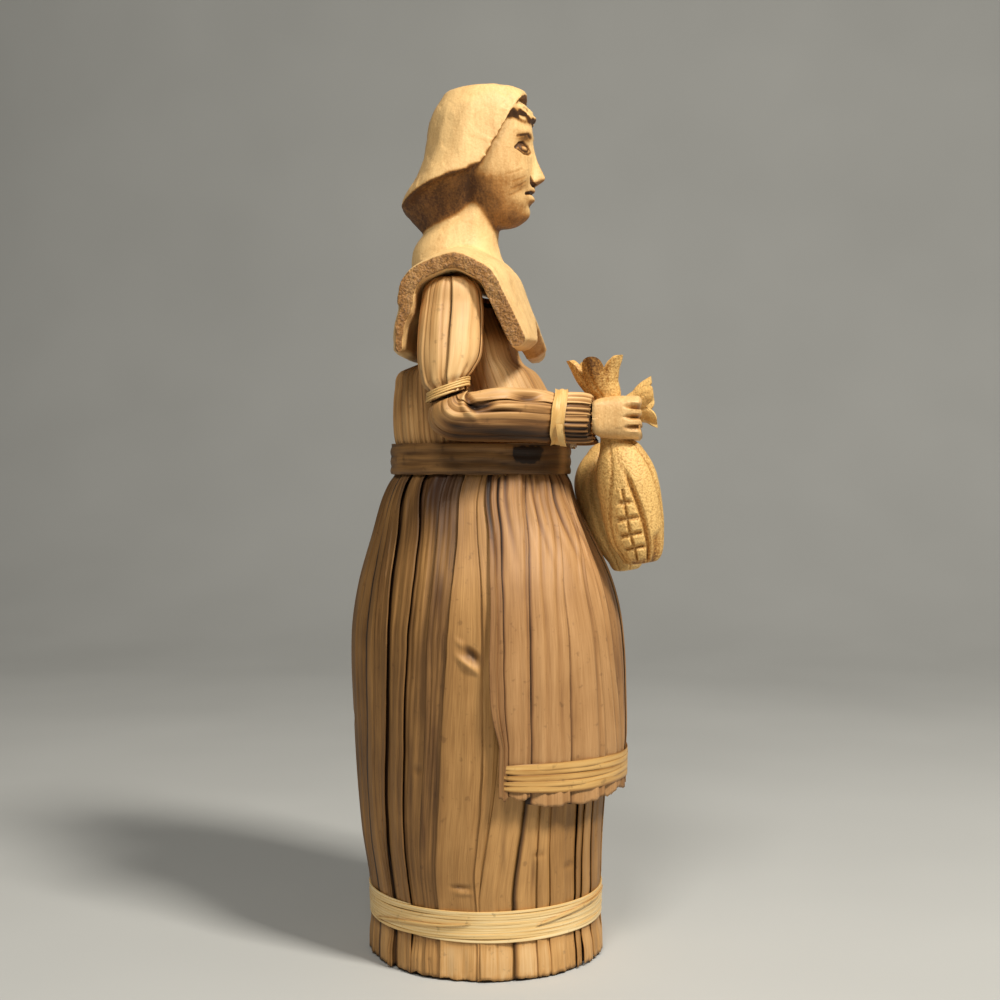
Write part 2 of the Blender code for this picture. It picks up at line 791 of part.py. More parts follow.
def dowel_bore(name):
    """The cutter for the dowel's hole, wider and longer by the wood gap."""
    return upright(name, ARM_AXIS_Z - DOWEL_BELOW_AXIS - WOOD_GAP,
                   ARM_AXIS_Z + DOWEL_ABOVE_AXIS + WOOD_GAP,
                   DOWEL_DIAMETER + 2 * WOOD_GAP, SLEEVE_SIDES, "straw")


def wire_bore(name):
    """The cutter for the arm wire's hole through the shoulders."""
    return axis_line(name, 2 * TORSO_HALF_WIDTH, WIRE_DIAMETER + 2 * WIRE_GAP, SLEEVE_SIDES)


def make_dowel():
    """The peg up the neck, cross-drilled for the arm wire."""
    dowel = upright("neck_dowel", ARM_AXIS_Z - DOWEL_BELOW_AXIS, ARM_AXIS_Z + DOWEL_ABOVE_AXIS,
                    DOWEL_DIAMETER, SLEEVE_SIDES, "linden")
    return combine(dowel, wire_bore("dowel_cross_bore"), "DIFFERENCE")


def make_torso_core():
    """Packed straw inside the bodice, bored for the dowel and the arm wire."""
    sides = LOOP_POINTS - LOOP_POINTS // 6
    start = BELT_BOTTOM + TUCK_TOP_SHARE * BELT_WIDTH + LEAF_GAP
    core_inset = BODICE_THICKNESS + LEAF_GAP + chord_allowance(TORSO_HALF_WIDTH, sides)
    bodice_top = ARM_AXIS_Z - COLLAR_DROP * (1 - BODICE_TOP_SHARE)
    rings = []
    for z, front, back, half_width in torso_rows(True):
        inset = core_inset if z <= bodice_top else 0
        shape = torso_point(front, back, half_width)
        level = max(z, start)
        rings.append([shape(2 * math.pi * i / sides, -inset, level) for i in range(sides)])
    core = loft("torso_core", rings, "straw")
    combine(core, dowel_bore("torso_dowel_bore"), "DIFFERENCE")
    return combine(core, wire_bore("torso_wire_bore"), "DIFFERENCE")


def make_bodice():
    """Leaf strips up the torso from the belt to under the collar."""
    pairs = strip_angles(BODICE_START_DEGREES, BODICE_STRIP_DEGREES)
    for number, (start, end) in enumerate(pairs, 1):
        rings = []
        for z, front, back, half_width in torso_rows(False):
            gap = SIDE_GAP / half_width
            rings.append(leaf_section(torso_point(front, back, half_width), start + gap,
                                      end - gap, z, 0, -BODICE_THICKNESS, 0, 3))
        loft(f"bodice_strip_{number:02d}", rings, "sleeve_leaf")


def collar_section(x):
    """One upright slice of the collar: inner side front to back, outer side back to front."""
    inner = collar_inner()
    spread = 1 - (2 * x / COLLAR_WIDTH) ** 2
    outer = []
    for index, (depth, height, thick, dome) in enumerate(inner):
        before = inner[max(index - 1, 0)]
        after = inner[min(index + 1, len(inner) - 1)]
        along = Vector((after[0] - before[0], after[1] - before[1])).normalized()
        wall = thick * COLLAR_THICKNESS + dome * spread * COLLAR_DOME
        outer.append((depth - along.y * wall, height + along.x * wall))
    profile = [(depth, height) for depth, height, thick, dome in inner] + outer[::-1]
    return [Vector((x, ARM_AXIS_SHIFT + depth, ARM_AXIS_Z + height))
            for depth, height in profile]


def make_collar():
    """The saddle-shaped collar with its notch in front."""
    half = COLLAR_WIDTH / 2
    collar = loft("carved_bust", [collar_section(share * half)
                                  for share in COLLAR_STATION_SHARES], "linden")
    bm = bmesh.new()
    apex = COLLAR_BOTTOM + NOTCH_HEIGHT
    low = COLLAR_BOTTOM - NOTCH_HEIGHT
    corners = [bm.verts.new((x, ARM_AXIS_SHIFT, z)) for x, z in
               ((-NOTCH_WIDTH, low), (NOTCH_WIDTH, low), (0, apex))]
    face = bm.faces.new(corners)
    made = bmesh.ops.extrude_face_region(bm, geom=[face])["geom"]
    fresh = [item for item in made if isinstance(item, bmesh.types.BMVert)]
    bmesh.ops.translate(bm, vec=(0, -2 * COLLAR_FRONT - 2 * COLLAR_THICKNESS, 0), verts=fresh)
    notch = add_object("collar_notch", to_mesh("collar_notch", bm), "linden")
    return combine(collar, notch, "DIFFERENCE")


def head_ring(row, half_width, nose=0):
    """One level of the head from its shares."""
    height, front, back, width = row[:4]
    return oval(ARM_AXIS_SHIFT + front * HEAD_DEPTH, ARM_AXIS_SHIFT + back * HEAD_DEPTH,
                width * half_width, CHIN_Z + height * HEAD_HEIGHT, CARVING_SIDES, nose)


def make_hood():
    """The hood: a flared bell with its slanted front edge cut off flat."""
    hood = loft("hood_form", [head_ring(row, HOOD_WIDTH / 2) for row in HOOD_SHARES], "linden")
    bm = bmesh.new()
    bm.from_mesh(hood.data)
    (high, high_depth), (low, low_depth) = HOOD_EDGE_SHARES
    upper = Vector((0, ARM_AXIS_SHIFT + high_depth * HEAD_DEPTH, CHIN_Z + high * HEAD_HEIGHT))
    lower = Vector((0, ARM_AXIS_SHIFT + low_depth * HEAD_DEPTH, CHIN_Z + low * HEAD_HEIGHT))
    along = (upper - lower).normalized()
    outward = Vector((0, -along.z, along.y))
    cut = bmesh.ops.bisect_plane(bm, geom=bm.verts[:] + bm.edges[:] + bm.faces[:],
                                 plane_co=upper, plane_no=outward, clear_outer=True)
    rim = [item for item in cut["geom_cut"] if isinstance(item, bmesh.types.BMEdge)]
    bmesh.ops.holes_fill(bm, edges=rim, sides=0)
    hood.data = to_mesh("hood_form", bm)
    hood.data.materials.append(finish_material("linden"))
    return hood


def make_bust():
    """Collar, neck, head and hood as the one carving that they are, bored for the dowel."""
    bust = make_collar()
    neck_rows = [(height * CHIN_RISE / HEAD_HEIGHT, front, back, width)
                 for height, front, back, width in NECK_SHARES]
    neck = loft("neck_form", [head_ring(row, NECK_WIDTH / 2) for row in neck_rows], "linden")
    face = loft("face_form", [head_ring(row, FACE_WIDTH / 2, row[4] * NOSE_LENGTH)
                              for row in FACE_SHARES], "linden")
    combine(bust, neck, "UNION")
    combine(bust, face, "UNION")
    combine(bust, make_hood(), "UNION")
    return combine(bust, dowel_bore("bust_bore"), "DIFFERENCE")


def edge_ring(front, back, x, half_width, sides):
    """An oval ring across a limb between two edge points in the doll's side view."""
    middle = (front + back) / 2
    reach = (front - back) / 2
    ring = []
    for step in range(sides):
        turn = 2 * math.pi * step / sides
        across = middle + reach * math.cos(turn)
        ring.append(Vector((x + half_width * math.sin(turn), across.x, across.y)))
    return ring


def elbow_x():
    """How far out the elbow stands, clear of the bodice."""
    return TORSO_HALF_WIDTH + ARM_BODY_GAP + FOREARM_HALF


def shoulder_x():
    """How far out the sleeve's top stands, clear of the torso's top."""
    top_width = SHOULDER_SHARES[-1][1] * TORSO_HALF_WIDTH
    top_sleeve = SLEEVE_SHARES[2][5] * SLEEVE_HALF_WIDTH
    return top_width + 2 * LEAF_GAP + top_sleeve


def cuff_y():
    """Where the forearm sleeve ends in front."""
    return grip_y() + PALM_SHARE * HAND_LENGTH + WOOD_GAP


def forearm_place(along, up, out):
    """Depth, height and outward place of a point given as shares of the forearm."""
    length = ARM_AXIS_SHIFT - cuff_y()
    return (ARM_AXIS_SHIFT - along * length, FOREARM_Z + up * FOREARM_HALF,
            CUFF_X + out * (elbow_x() - CUFF_X))


def sleeve_rings(side):
    """The rings of one upper sleeve from its domed top to the elbow."""
    rings = []
    for row in SLEEVE_SHARES:
        front_y, front_t, back_y, back_t, out, width = row
        front = Vector((ARM_AXIS_SHIFT + front_y * SLEEVE_HALF_DEPTH,
                        ARM_AXIS_Z - front_t * UPPER_ARM))
        back = Vector((ARM_AXIS_SHIFT + back_y * SLEEVE_HALF_DEPTH,
                       ARM_AXIS_Z - back_t * UPPER_ARM))
        x = side * (shoulder_x() + out * (elbow_x() - shoulder_x()))
        rings.append(edge_ring(front, back, x, width * SLEEVE_HALF_WIDTH, SLEEVE_SIDES))
    return rings


def forearm_ring(row, side, grow):
    """One ring of a forearm sleeve, larger all round by a given length."""
    upper_along, upper_up, lower_along, lower_up, out, width = row
    upper_y, upper_z, x = forearm_place(upper_along, upper_up, out)
    lower_y, lower_z, x = forearm_place(lower_along, lower_up, out)
    upper = Vector((upper_y, upper_z))
    lower = Vector((lower_y, lower_z))
    spread = (upper - lower).normalized() * grow
    return edge_ring(upper + spread, lower - spread, side * x,
                     width * FOREARM_HALF + grow, SLEEVE_SIDES)


def wire_points(side):
    """The middle of the arm wire from the middle of the chest to one hand."""
    points = []
    for out, down in WIRE_SHOULDER_SHARES:
        x = shoulder_x() + out * (elbow_x() - shoulder_x())
        points.append(Vector((side * x, ARM_AXIS_SHIFT, ARM_AXIS_Z - down * UPPER_ARM)))
    for along, up, out in WIRE_SHARES:
        y, z, x = forearm_place(along, up, out)
        points.append(Vector((side * x, y, z)))
    last = points[-1]
    points.append(last + Vector((0, -WIRE_INTO_HAND, 0)))
    return points


def smooth_route(points, pieces):
    """Points on a smooth curve through the given ones."""
    line = [points[0], *points, points[-1]]
    route = []
    for a, b, c, d in zip(line, line[1:], line[2:], line[3:]):
        for step in range(pieces):
            t = step / pieces
            route.append(0.5 * ((2 * b) + (c - a) * t + (2 * a - 5 * b + 4 * c - d) * t ** 2
                                + (3 * b - 3 * c + d - a) * t ** 3))
    route.append(points[-1])
    return route


def whole_wire_route():
    """The arm wire from hand to hand."""
    right = smooth_route(wire_points(-1), 2)
    left = smooth_route(wire_points(1), 2)
    return right[::-1] + left


def wire_cutter(name, grow):
    """A mesh tube along the whole wire, to bore what the wire runs through."""
    route = whole_wire_route()
    lead = (route[0] - route[1]).normalized() * grow
    tail = (route[-1] - route[-2]).normalized() * grow
    route = [route[0] + lead, *route[1:-1], route[-1] + tail]
    tube = add_tube(name, route, WIRE_DIAMETER + 2 * grow, "wire")
    graph = bpy.context.evaluated_depsgraph_get()
    mesh = bpy.data.meshes.new_from_object(tube.evaluated_get(graph))
    bpy.data.objects.remove(tube)
    return add_object(name, mesh, "wire")


def make_arm_side(side, word):
    """Sleeves and bindings of one arm."""
    made = []
    upper = loft(f"{word}_upper_sleeve", sleeve_rings(side), "sleeve_leaf")
    made.append(combine(upper, wire_cutter("upper_bore", WIRE_GAP), "DIFFERENCE"))
    rings = [forearm_ring(row, side, 0) for row in FOREARM_SHARES]
    forearm = loft(f"{word}_forearm_sleeve", rings, "sleeve_leaf")
    made.append(combine(forearm, wire_cutter("forearm_bore", WIRE_GAP), "DIFFERENCE"))
    made.append(make_elbow_binding(side, word))
    made.append(make_wrist_binding(side, word))
    return made


def make_elbow_binding(side, word):
    """Raffia wound round the sleeve's drawn-in end, tilted as the elbow is."""
    above = sleeve_rings(side)[-2]
    below = sleeve_rings(side)[-1]
    centre_above = sum(above, Vector()) / len(above)
    centre_below = sum(below, Vector()) / len(below)
    outward = LEAF_GAP + RAFFIA_DIAMETER / 2
    height = ELBOW_LOOPS * ELBOW_PITCH / (centre_above - centre_below).length
    front = (above[0] - centre_above)
    sideways = (above[SLEEVE_SIDES // 4] - centre_above)
    swell = 1 / math.cos(math.pi / ELBOW_LOOP_POINTS)

    def route(turn):
        angle = 2 * math.pi * turn
        share = 0.5 + (turn / ELBOW_LOOPS - 0.5) * height
        middle = centre_below.lerp(centre_above, share)
        wide = front * (1 + outward / front.length) * math.cos(angle)
        deep = sideways * (1 + outward / sideways.length) * math.sin(angle)
        return middle + (wide + deep) * swell

    return wind(f"{word}_elbow_binding", route, ELBOW_LOOPS, ELBOW_LOOP_POINTS,
                RAFFIA_DIAMETER, "raffia")


def make_wrist_binding(side, word):
    """A flat strip wound round the cuff."""
    first, last = (FOREARM_SHARES[index] for index in BAND_ROWS)
    inner_grow = LEAF_GAP
    outer_grow = LEAF_GAP + BAND_THICKNESS
    rings = [forearm_ring(first, side, inner_grow), forearm_ring(first, side, outer_grow),
             forearm_ring(last, side, outer_grow), forearm_ring(last, side, inner_grow)]
    return loft(f"{word}_wrist_binding", rings, "raffia", closed=True)


def ear_rows(shares):
    """Forward place, height and radius of an ear's rings about the grip."""
    return [(ahead * EAR_LENGTH, up * EAR_LENGTH, wide * EAR_RADIUS)
            for ahead, up, wide in shares]


def resting_depth(height, radius):
    """How far ahead a round thing of that radius stands when it rests on apron or belt."""
    if height >= BELT_BOTTOM - BELT_WIDTH / 4:
        body, shift = BELT_OUTER, WAIST_SHIFT
    else:
        shift = skirt_surface(height)[1]
        body = shift - apron_point(0, 0, height).y
    return math.sqrt((body + radius + 2 * LEAF_GAP) ** 2 - GRIP_X ** 2) - shift


def grip_y():
    """Depth of both hands' grip: the ears of corn rest against the apron."""
    places = []
    for shares in (RIGHT_EAR_SHARES, LEFT_EAR_SHARES):
        for ahead, up, radius in ear_rows(shares)[:-CROWN_ROWS]:
            places.append(ahead - resting_depth(FOREARM_Z + up, radius))
    return min(places)


def ear_mesh(name, shares, x, grow):
    """An ear of corn: a blunt spindle, a gripped neck and a lobed crown of husk."""
    rows = ear_rows(shares)
    rings = []
    for index, (ahead, up, radius) in enumerate(rows):
        before = rows[max(index - 1, 0)]
        after = rows[min(index + 1, len(rows) - 1)]
        along = Vector((0, before[0] - after[0], after[1] - before[1])).normalized()
        across = Vector((0, along.z, -along.y))
        middle = Vector((x, grip_y() - ahead, FOREARM_Z + up))
        crown = index - (len(rows) - CROWN_ROWS)
        lobe = LOBE_SHARE * (crown + 1) / CROWN_ROWS if crown >= 0 else 0
        ring = []
        for step in range(EAR_SIDES):
            turn = 2 * math.pi * step / EAR_SIDES
            wide = (radius + grow) * (1 - (lobe if step % 2 else 0))
            ring.append(middle + Vector((wide * math.sin(turn), 0, 0))
                        + across * wide * math.cos(turn))
        rings.append(ring)
    return loft(name, rings, "ear_wood")


def fist_x():
    """How far out the middle of the closed fingers stands."""
    return GRIP_X + FIST_OUT_SHARE * HAND_HALF_WIDTH


def make_hand(side, word, shares):
    """A carved fist: a palm with four finger ridges, hollowed for the ear and the wire."""
    start = cuff_y() - WOOD_GAP
    rings = []
    for along, width, height, drift in HAND_SHARES:
        y = start - along * HAND_LENGTH
        x = fist_x() + drift * (CUFF_X - fist_x())
        ring = []
        for step in range(SLEEVE_SIDES):
            turn = 2 * math.pi * step / SLEEVE_SIDES
            round_x = math.copysign(abs(math.sin(turn)) ** FIST_SQUARENESS, math.sin(turn))
            round_z = math.copysign(abs(math.cos(turn)) ** FIST_SQUARENESS, math.cos(turn))
            ring.append(Vector((side * x + width * HAND_HALF_WIDTH * round_x, y,
                                FOREARM_Z + height * HAND_HALF_HEIGHT * round_z)))
        rings.append(ring)
    hand = loft(f"{word}_hand", rings, "linden")
    combine_fingers(hand, side, start)
    combine(hand, ear_mesh("ear_cutter", shares, side * GRIP_X, WOOD_GAP), "DIFFERENCE")
    return combine(hand, wire_cutter("hand_bore", WIRE_GAP), "DIFFERENCE")


def combine_fingers(hand, side, start):
    """Join four rounded finger ridges to the front of a hand."""
    thick = 2 * HAND_HALF_HEIGHT / FINGER_COUNT
    for index in range(FINGER_COUNT):
        height = FOREARM_Z - HAND_HALF_HEIGHT + (index + 0.5) * thick
        bm = bmesh.new()
        size = (2 * (HAND_HALF_WIDTH + FINGER_PROUD), HAND_LENGTH * FINGER_LENGTH_SHARE,
                thick * FINGER_WIDTH_SHARE)
        bmesh.ops.create_cube(bm, size=1)
        bmesh.ops.scale(bm, vec=size, verts=bm.verts)
        bmesh.ops.bevel(bm, geom=bm.edges[:], offset=thick * FINGER_EDGE_SHARE, segments=1,
                        profile=0.5, affect="EDGES", material=-1)
        middle = (side * fist_x(), start - HAND_LENGTH * FINGER_MIDDLE_SHARE - FINGER_PROUD,
                  height)
        bmesh.ops.translate(bm, vec=middle, verts=bm.verts)
        finger = add_object(f"finger_form_{index}", to_mesh("finger_form", bm), "linden")
        combine(hand, finger, "UNION")


def make_arms():
    """Everything that swings with the arms, hung on an empty at their axis."""
    axis = bpy.data.objects.new("arm_axis", None)
    axis.location = (0, ARM_AXIS_SHIFT, ARM_AXIS_Z)
    bpy.context.scene.collection.objects.link(axis)
    pieces = [add_tube("arm_wire", whole_wire_route(), WIRE_DIAMETER, "wire")]
    for side, word, shares in ((-1, "right", RIGHT_EAR_SHARES), (1, "left", LEFT_EAR_SHARES)):
        pieces += make_arm_side(side, word)
        pieces.append(make_hand(side, word, shares))
        pieces.append(ear_mesh(f"{word}_corn_ear", shares, side * GRIP_X, 0))
    bpy.context.view_layer.update()
    for piece in pieces:
        piece.parent = axis
        piece.matrix_parent_inverse = axis.matrix_world.inverted()


def main():
    """Build the whole doll."""
    clear_scene()
    make_skirt_core()
    make_skirt_strips()
    make_apron_strips()
    make_waist_ties()
    make_hem_binding()
    make_apron_binding()
    make_torso_core()
    make_bodice()
    make_dowel()
    make_bust()
    make_arms()


main()
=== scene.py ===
# %% [markdown]
# # A corn husk doll with a carved bust
# The doll is about 28 cm tall. A packed straw core stands inside long husk leaves, and raffia
# ties them. Head, hood and collar are one carving, and two sleeved arms hold two carved ears.
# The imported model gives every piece's place. This script builds the visible surface of each
# piece around it, with a finish of its own. Lengths below are in millimetres unless a comment
# says otherwise, and turns are degrees round the doll from its front, negative to its right.

# %% The fixed frame
import bisect
import math

import bmesh
import bpy
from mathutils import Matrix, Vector, kdtree, noise


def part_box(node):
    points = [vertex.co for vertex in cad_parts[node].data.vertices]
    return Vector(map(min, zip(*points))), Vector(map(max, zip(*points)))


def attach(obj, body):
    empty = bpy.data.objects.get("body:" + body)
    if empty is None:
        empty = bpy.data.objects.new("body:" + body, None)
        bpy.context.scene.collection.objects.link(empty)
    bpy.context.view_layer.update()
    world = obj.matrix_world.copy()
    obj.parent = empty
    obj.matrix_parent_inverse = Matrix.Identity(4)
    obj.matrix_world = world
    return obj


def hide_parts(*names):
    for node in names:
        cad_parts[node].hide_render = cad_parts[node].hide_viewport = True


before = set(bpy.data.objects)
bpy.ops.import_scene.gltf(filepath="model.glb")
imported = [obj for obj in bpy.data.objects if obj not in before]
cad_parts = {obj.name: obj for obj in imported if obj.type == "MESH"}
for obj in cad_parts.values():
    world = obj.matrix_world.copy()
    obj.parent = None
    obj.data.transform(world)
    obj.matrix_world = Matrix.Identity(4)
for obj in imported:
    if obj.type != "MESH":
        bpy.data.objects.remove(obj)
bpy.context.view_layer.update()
MM = 0.001

# %% [markdown]
# ## Camera, floor and light
# The photograph looks at the doll's right side from a little in front, at the height of its
# skirt. A large soft lamp stands to the right and above, where the doll looks, so the front of
# the apron is bright and the back of the skirt falls into shade. The floor rises behind the
# doll in one curve, which leaves no corner in the picture.

# %% Camera
VIEW_TURN = 6.0
VIEW_DISTANCE = 491.0
VIEW_SIDE = 4.45
VIEW_HEIGHT = 155.0
VIEW_LENS = 54.0
VIEW_SHIFT = -0.03

ahead = Vector((math.cos(math.radians(VIEW_TURN)), math.sin(math.radians(VIEW_TURN)), 0))
right = Vector((ahead.y, -ahead.x, 0))
camera_data = bpy.data.cameras.new("camera")
camera_data.lens = VIEW_LENS
camera_data.shift_y = VIEW_SHIFT
camera_data.clip_start = 0.01
camera = bpy.data.objects.new("camera", camera_data)
camera.location = (right * VIEW_SIDE - ahead * VIEW_DISTANCE) * MM
camera.location.z = VIEW_HEIGHT * MM
camera.rotation_euler = (math.pi / 2, 0, math.atan2(right.y, right.x))
bpy.context.scene.collection.objects.link(camera)
bpy.context.scene.camera = camera
bpy.context.scene.view_settings.view_transform = "Standard"
print("camera at", tuple(round(value, 3) for value in camera.location))

# %% Floor and backdrop in one sweep
FLOOR_REACH = 2.4
FLOOR_WIDTH = 2.5
SWEEP_RADIUS = 0.5


def make_floor():
    """A pale sheet in metres that lies flat round the doll and curves up far behind it."""
    bm = bmesh.new()
    bmesh.ops.create_grid(bm, x_segments=60, y_segments=60, size=FLOOR_REACH)
    for corner in bm.verts:
        corner.co.y *= FLOOR_WIDTH
        run = corner.co.x - (FLOOR_REACH / 2 - SWEEP_RADIUS)
        if run > 0:
            bend = min(run / SWEEP_RADIUS, math.pi / 2)
            over = max(run - SWEEP_RADIUS * math.pi / 2, 0)
            corner.co.x += SWEEP_RADIUS * math.sin(bend) - run
            corner.co.z = SWEEP_RADIUS * (1 - math.cos(bend)) + over
    mesh = bpy.data.meshes.new("floor")
    bm.to_mesh(mesh)
    bm.free()
    mesh.shade_smooth()
    floor = bpy.data.objects.new("floor", mesh)
    bpy.context.scene.collection.objects.link(floor)
    return floor


floor = make_floor()
print("floor:", len(floor.data.vertices), "corners")

# %% Lamps
DOLL_MIDDLE = Vector((0, 0, 0.15))


def add_lamp(name, place, size, power, colour):
    """A square soft lamp in metres and watts that faces the middle of the doll."""
    data = bpy.data.lights.new(name, "AREA")
    data.size = size
    data.energy = power
    data.color = colour
    lamp = bpy.data.objects.new(name, data)
    lamp.location = place
    lamp.rotation_euler = (DOLL_MIDDLE - Vector(place)).to_track_quat("-Z", "Y").to_euler()
    bpy.context.scene.collection.objects.link(lamp)
    return lamp


add_lamp("key_lamp", (-0.45, -0.56, 1.01), 0.20, 14.5, (1.0, 0.95, 0.87))
add_lamp("side_lamp", (-0.80, 0.08, 0.96), 0.30, 5.8, (1.0, 0.96, 0.89))
world = bpy.data.worlds.new("studio")
world.use_nodes = True
bpy.context.scene.world = world
WORLD_LIGHT = 0.075
world.node_tree.nodes["Background"].inputs["Color"].default_value = (1.0, 0.98, 0.95, 1)
world.node_tree.nodes["Background"].inputs["Strength"].default_value = WORLD_LIGHT
print("lamps and world set")

# %% [markdown]
# ## Helpers for finishes
# Real husk is a dry leaf: fine fibres run along it, with broader pale and brown bands, small
# brown spots and a soft shine. Every leaf, strand and carved piece needs something like it, so
# the effects are node groups, built once. The groups read the piece's own UV map, which is in
# centimetres along the leaf, or Object coordinates for solid wood.

# %% Node helpers


def linear(red, green, blue):
    """A colour as a paint chart gives it, from 0 to 255, for a shader socket."""
    parts = []
    for part in (red, green, blue):
        share = part / 255
        parts.append(share / 12.92 if share <= 0.04045 else ((share + 0.055) / 1.055) ** 2.4)
    return (*parts, 1.0)


def add_node(tree, kind, settings=None, **sockets):
    """A node with its settings and its input sockets set, by name or by number."""
    made = tree.nodes.new(kind)
    for key, value in (settings or {}).items():
        setattr(made, key, value)
    for key, value in sockets.items():
        place = int(key[1:]) if key[0] == "n" and key[1:].isdigit() else key.replace("_", " ")
        socket = made.inputs[place]
        if isinstance(value, bpy.types.NodeSocket):
            tree.links.new(value, socket)
        else:
            socket.default_value = value
    return made


def add_math(tree, operation, first, second, clamp=False):
    """A math node on two numbers or sockets, and its result."""
    made = add_node(tree, "ShaderNodeMath", {"operation": operation, "use_clamp": clamp},
                    n0=first, n1=second)
    return made.outputs[0]


def add_ramp(tree, factor, stops):
    """A colour ramp through (place, colour) stops, and its colour."""
    made = add_node(tree, "ShaderNodeValToRGB", n0=factor)
    band = made.color_ramp
    while len(band.elements) < len(stops):
        band.elements.new(0.5)
    for mark, (place, colour) in zip(band.elements, stops):
        mark.position = place
        mark.color = colour
    return made.outputs["Color"]


def new_group(name, inputs, outputs):
    """An empty shader group with float inputs (name, value) and outputs (name, kind)."""
    group = bpy.data.node_groups.new(name, "ShaderNodeTree")
    for label, value in inputs:
        socket = group.interface.new_socket(label, in_out="INPUT", socket_type="NodeSocketFloat")
        socket.default_value = value
    for label, kind in outputs:
        group.interface.new_socket(label, in_out="OUTPUT", socket_type=kind)
    entry = group.nodes.new("NodeGroupInput")
    leave = group.nodes.new("NodeGroupOutput")
    return group, entry, leave


def new_material(name):
    """A material with its shader and output, ready for nodes."""
    material = bpy.data.materials.new(name)
    material.use_nodes = True
    return material, material.node_tree, material.node_tree.nodes["Principled BSDF"]


# %% Fibre group: lines along a husk leaf or a raffia strand
def make_fibre_group():
    """Streaks, bands and height of plant fibre along a piece's UV map in centimetres."""
    group, entry, leave = new_group(
        "plant_fibre", (("Fineness", 1.0), ("Length", 1.0)),
        (("Streak", "NodeSocketFloat"), ("Band", "NodeSocketFloat"),
         ("Height", "NodeSocketFloat")))
    uv = add_node(group, "ShaderNodeUVMap", {"uv_map": "UVMap"}).outputs[0]
    layers = []
    for across, along, detail in ((26.0, 0.9, 3.0), (8.0, 0.35, 3.0), (2.2, 0.30, 2.0)):
        wide = add_math(group, "MULTIPLY", entry.outputs["Fineness"], across)
        long = add_math(group, "MULTIPLY", entry.outputs["Length"], along)
        scale = add_node(group, "ShaderNodeCombineXYZ", X=wide, Y=long, Z=1.0).outputs[0]
        moved = add_node(group, "ShaderNodeVectorMath", {"operation": "MULTIPLY"},
                         n0=uv, n1=scale).outputs[0]
        layers.append(add_node(group, "ShaderNodeTexNoise", {"noise_dimensions": "2D"},
                               Vector=moved, Scale=1.0, Detail=detail).outputs[0])
    fine, rib, broad = layers
    height = add_math(group, "ADD", add_math(group, "MULTIPLY", fine, 0.35),
                      add_math(group, "MULTIPLY", rib, 0.65))
    group.links.new(fine, leave.inputs["Streak"])
    group.links.new(add_math(group, "ADD", add_math(group, "MULTIPLY", rib, 0.45),
                             add_math(group, "MULTIPLY", broad, 0.55)), leave.inputs["Band"])
    group.links.new(height, leave.inputs["Height"])
    return group


fibre_group = make_fibre_group()


# %% Mottle group: brown spots and cloudy discolouring in solid space
def make_mottle_group():
    """Small brown spots and soft clouds from Object coordinates."""
    group, entry, leave = new_group(
        "mottle", (("Spot size", 1.0),), (("Spots", "NodeSocketFloat"),
                                          ("Clouds", "NodeSocketFloat")))
    place = add_node(group, "ShaderNodeTexCoord").outputs["Object"]
    spot_scale = add_math(group, "DIVIDE", 420.0, entry.outputs["Spot size"])
    spots = add_node(group, "ShaderNodeTexNoise", Vector=place, Scale=spot_scale,
                     Detail=2.0).outputs[0]
    clouds = add_node(group, "ShaderNodeTexNoise", Vector=place, Scale=55.0,
                      Detail=3.0).outputs[0]
    sharp = add_node(group, "ShaderNodeMapRange", Value=spots, From_Min=0.64, From_Max=0.74)
    group.links.new(sharp.outputs[0], leave.inputs["Spots"])
    group.links.new(clouds, leave.inputs["Clouds"])
    return group


mottle_group = make_mottle_group()
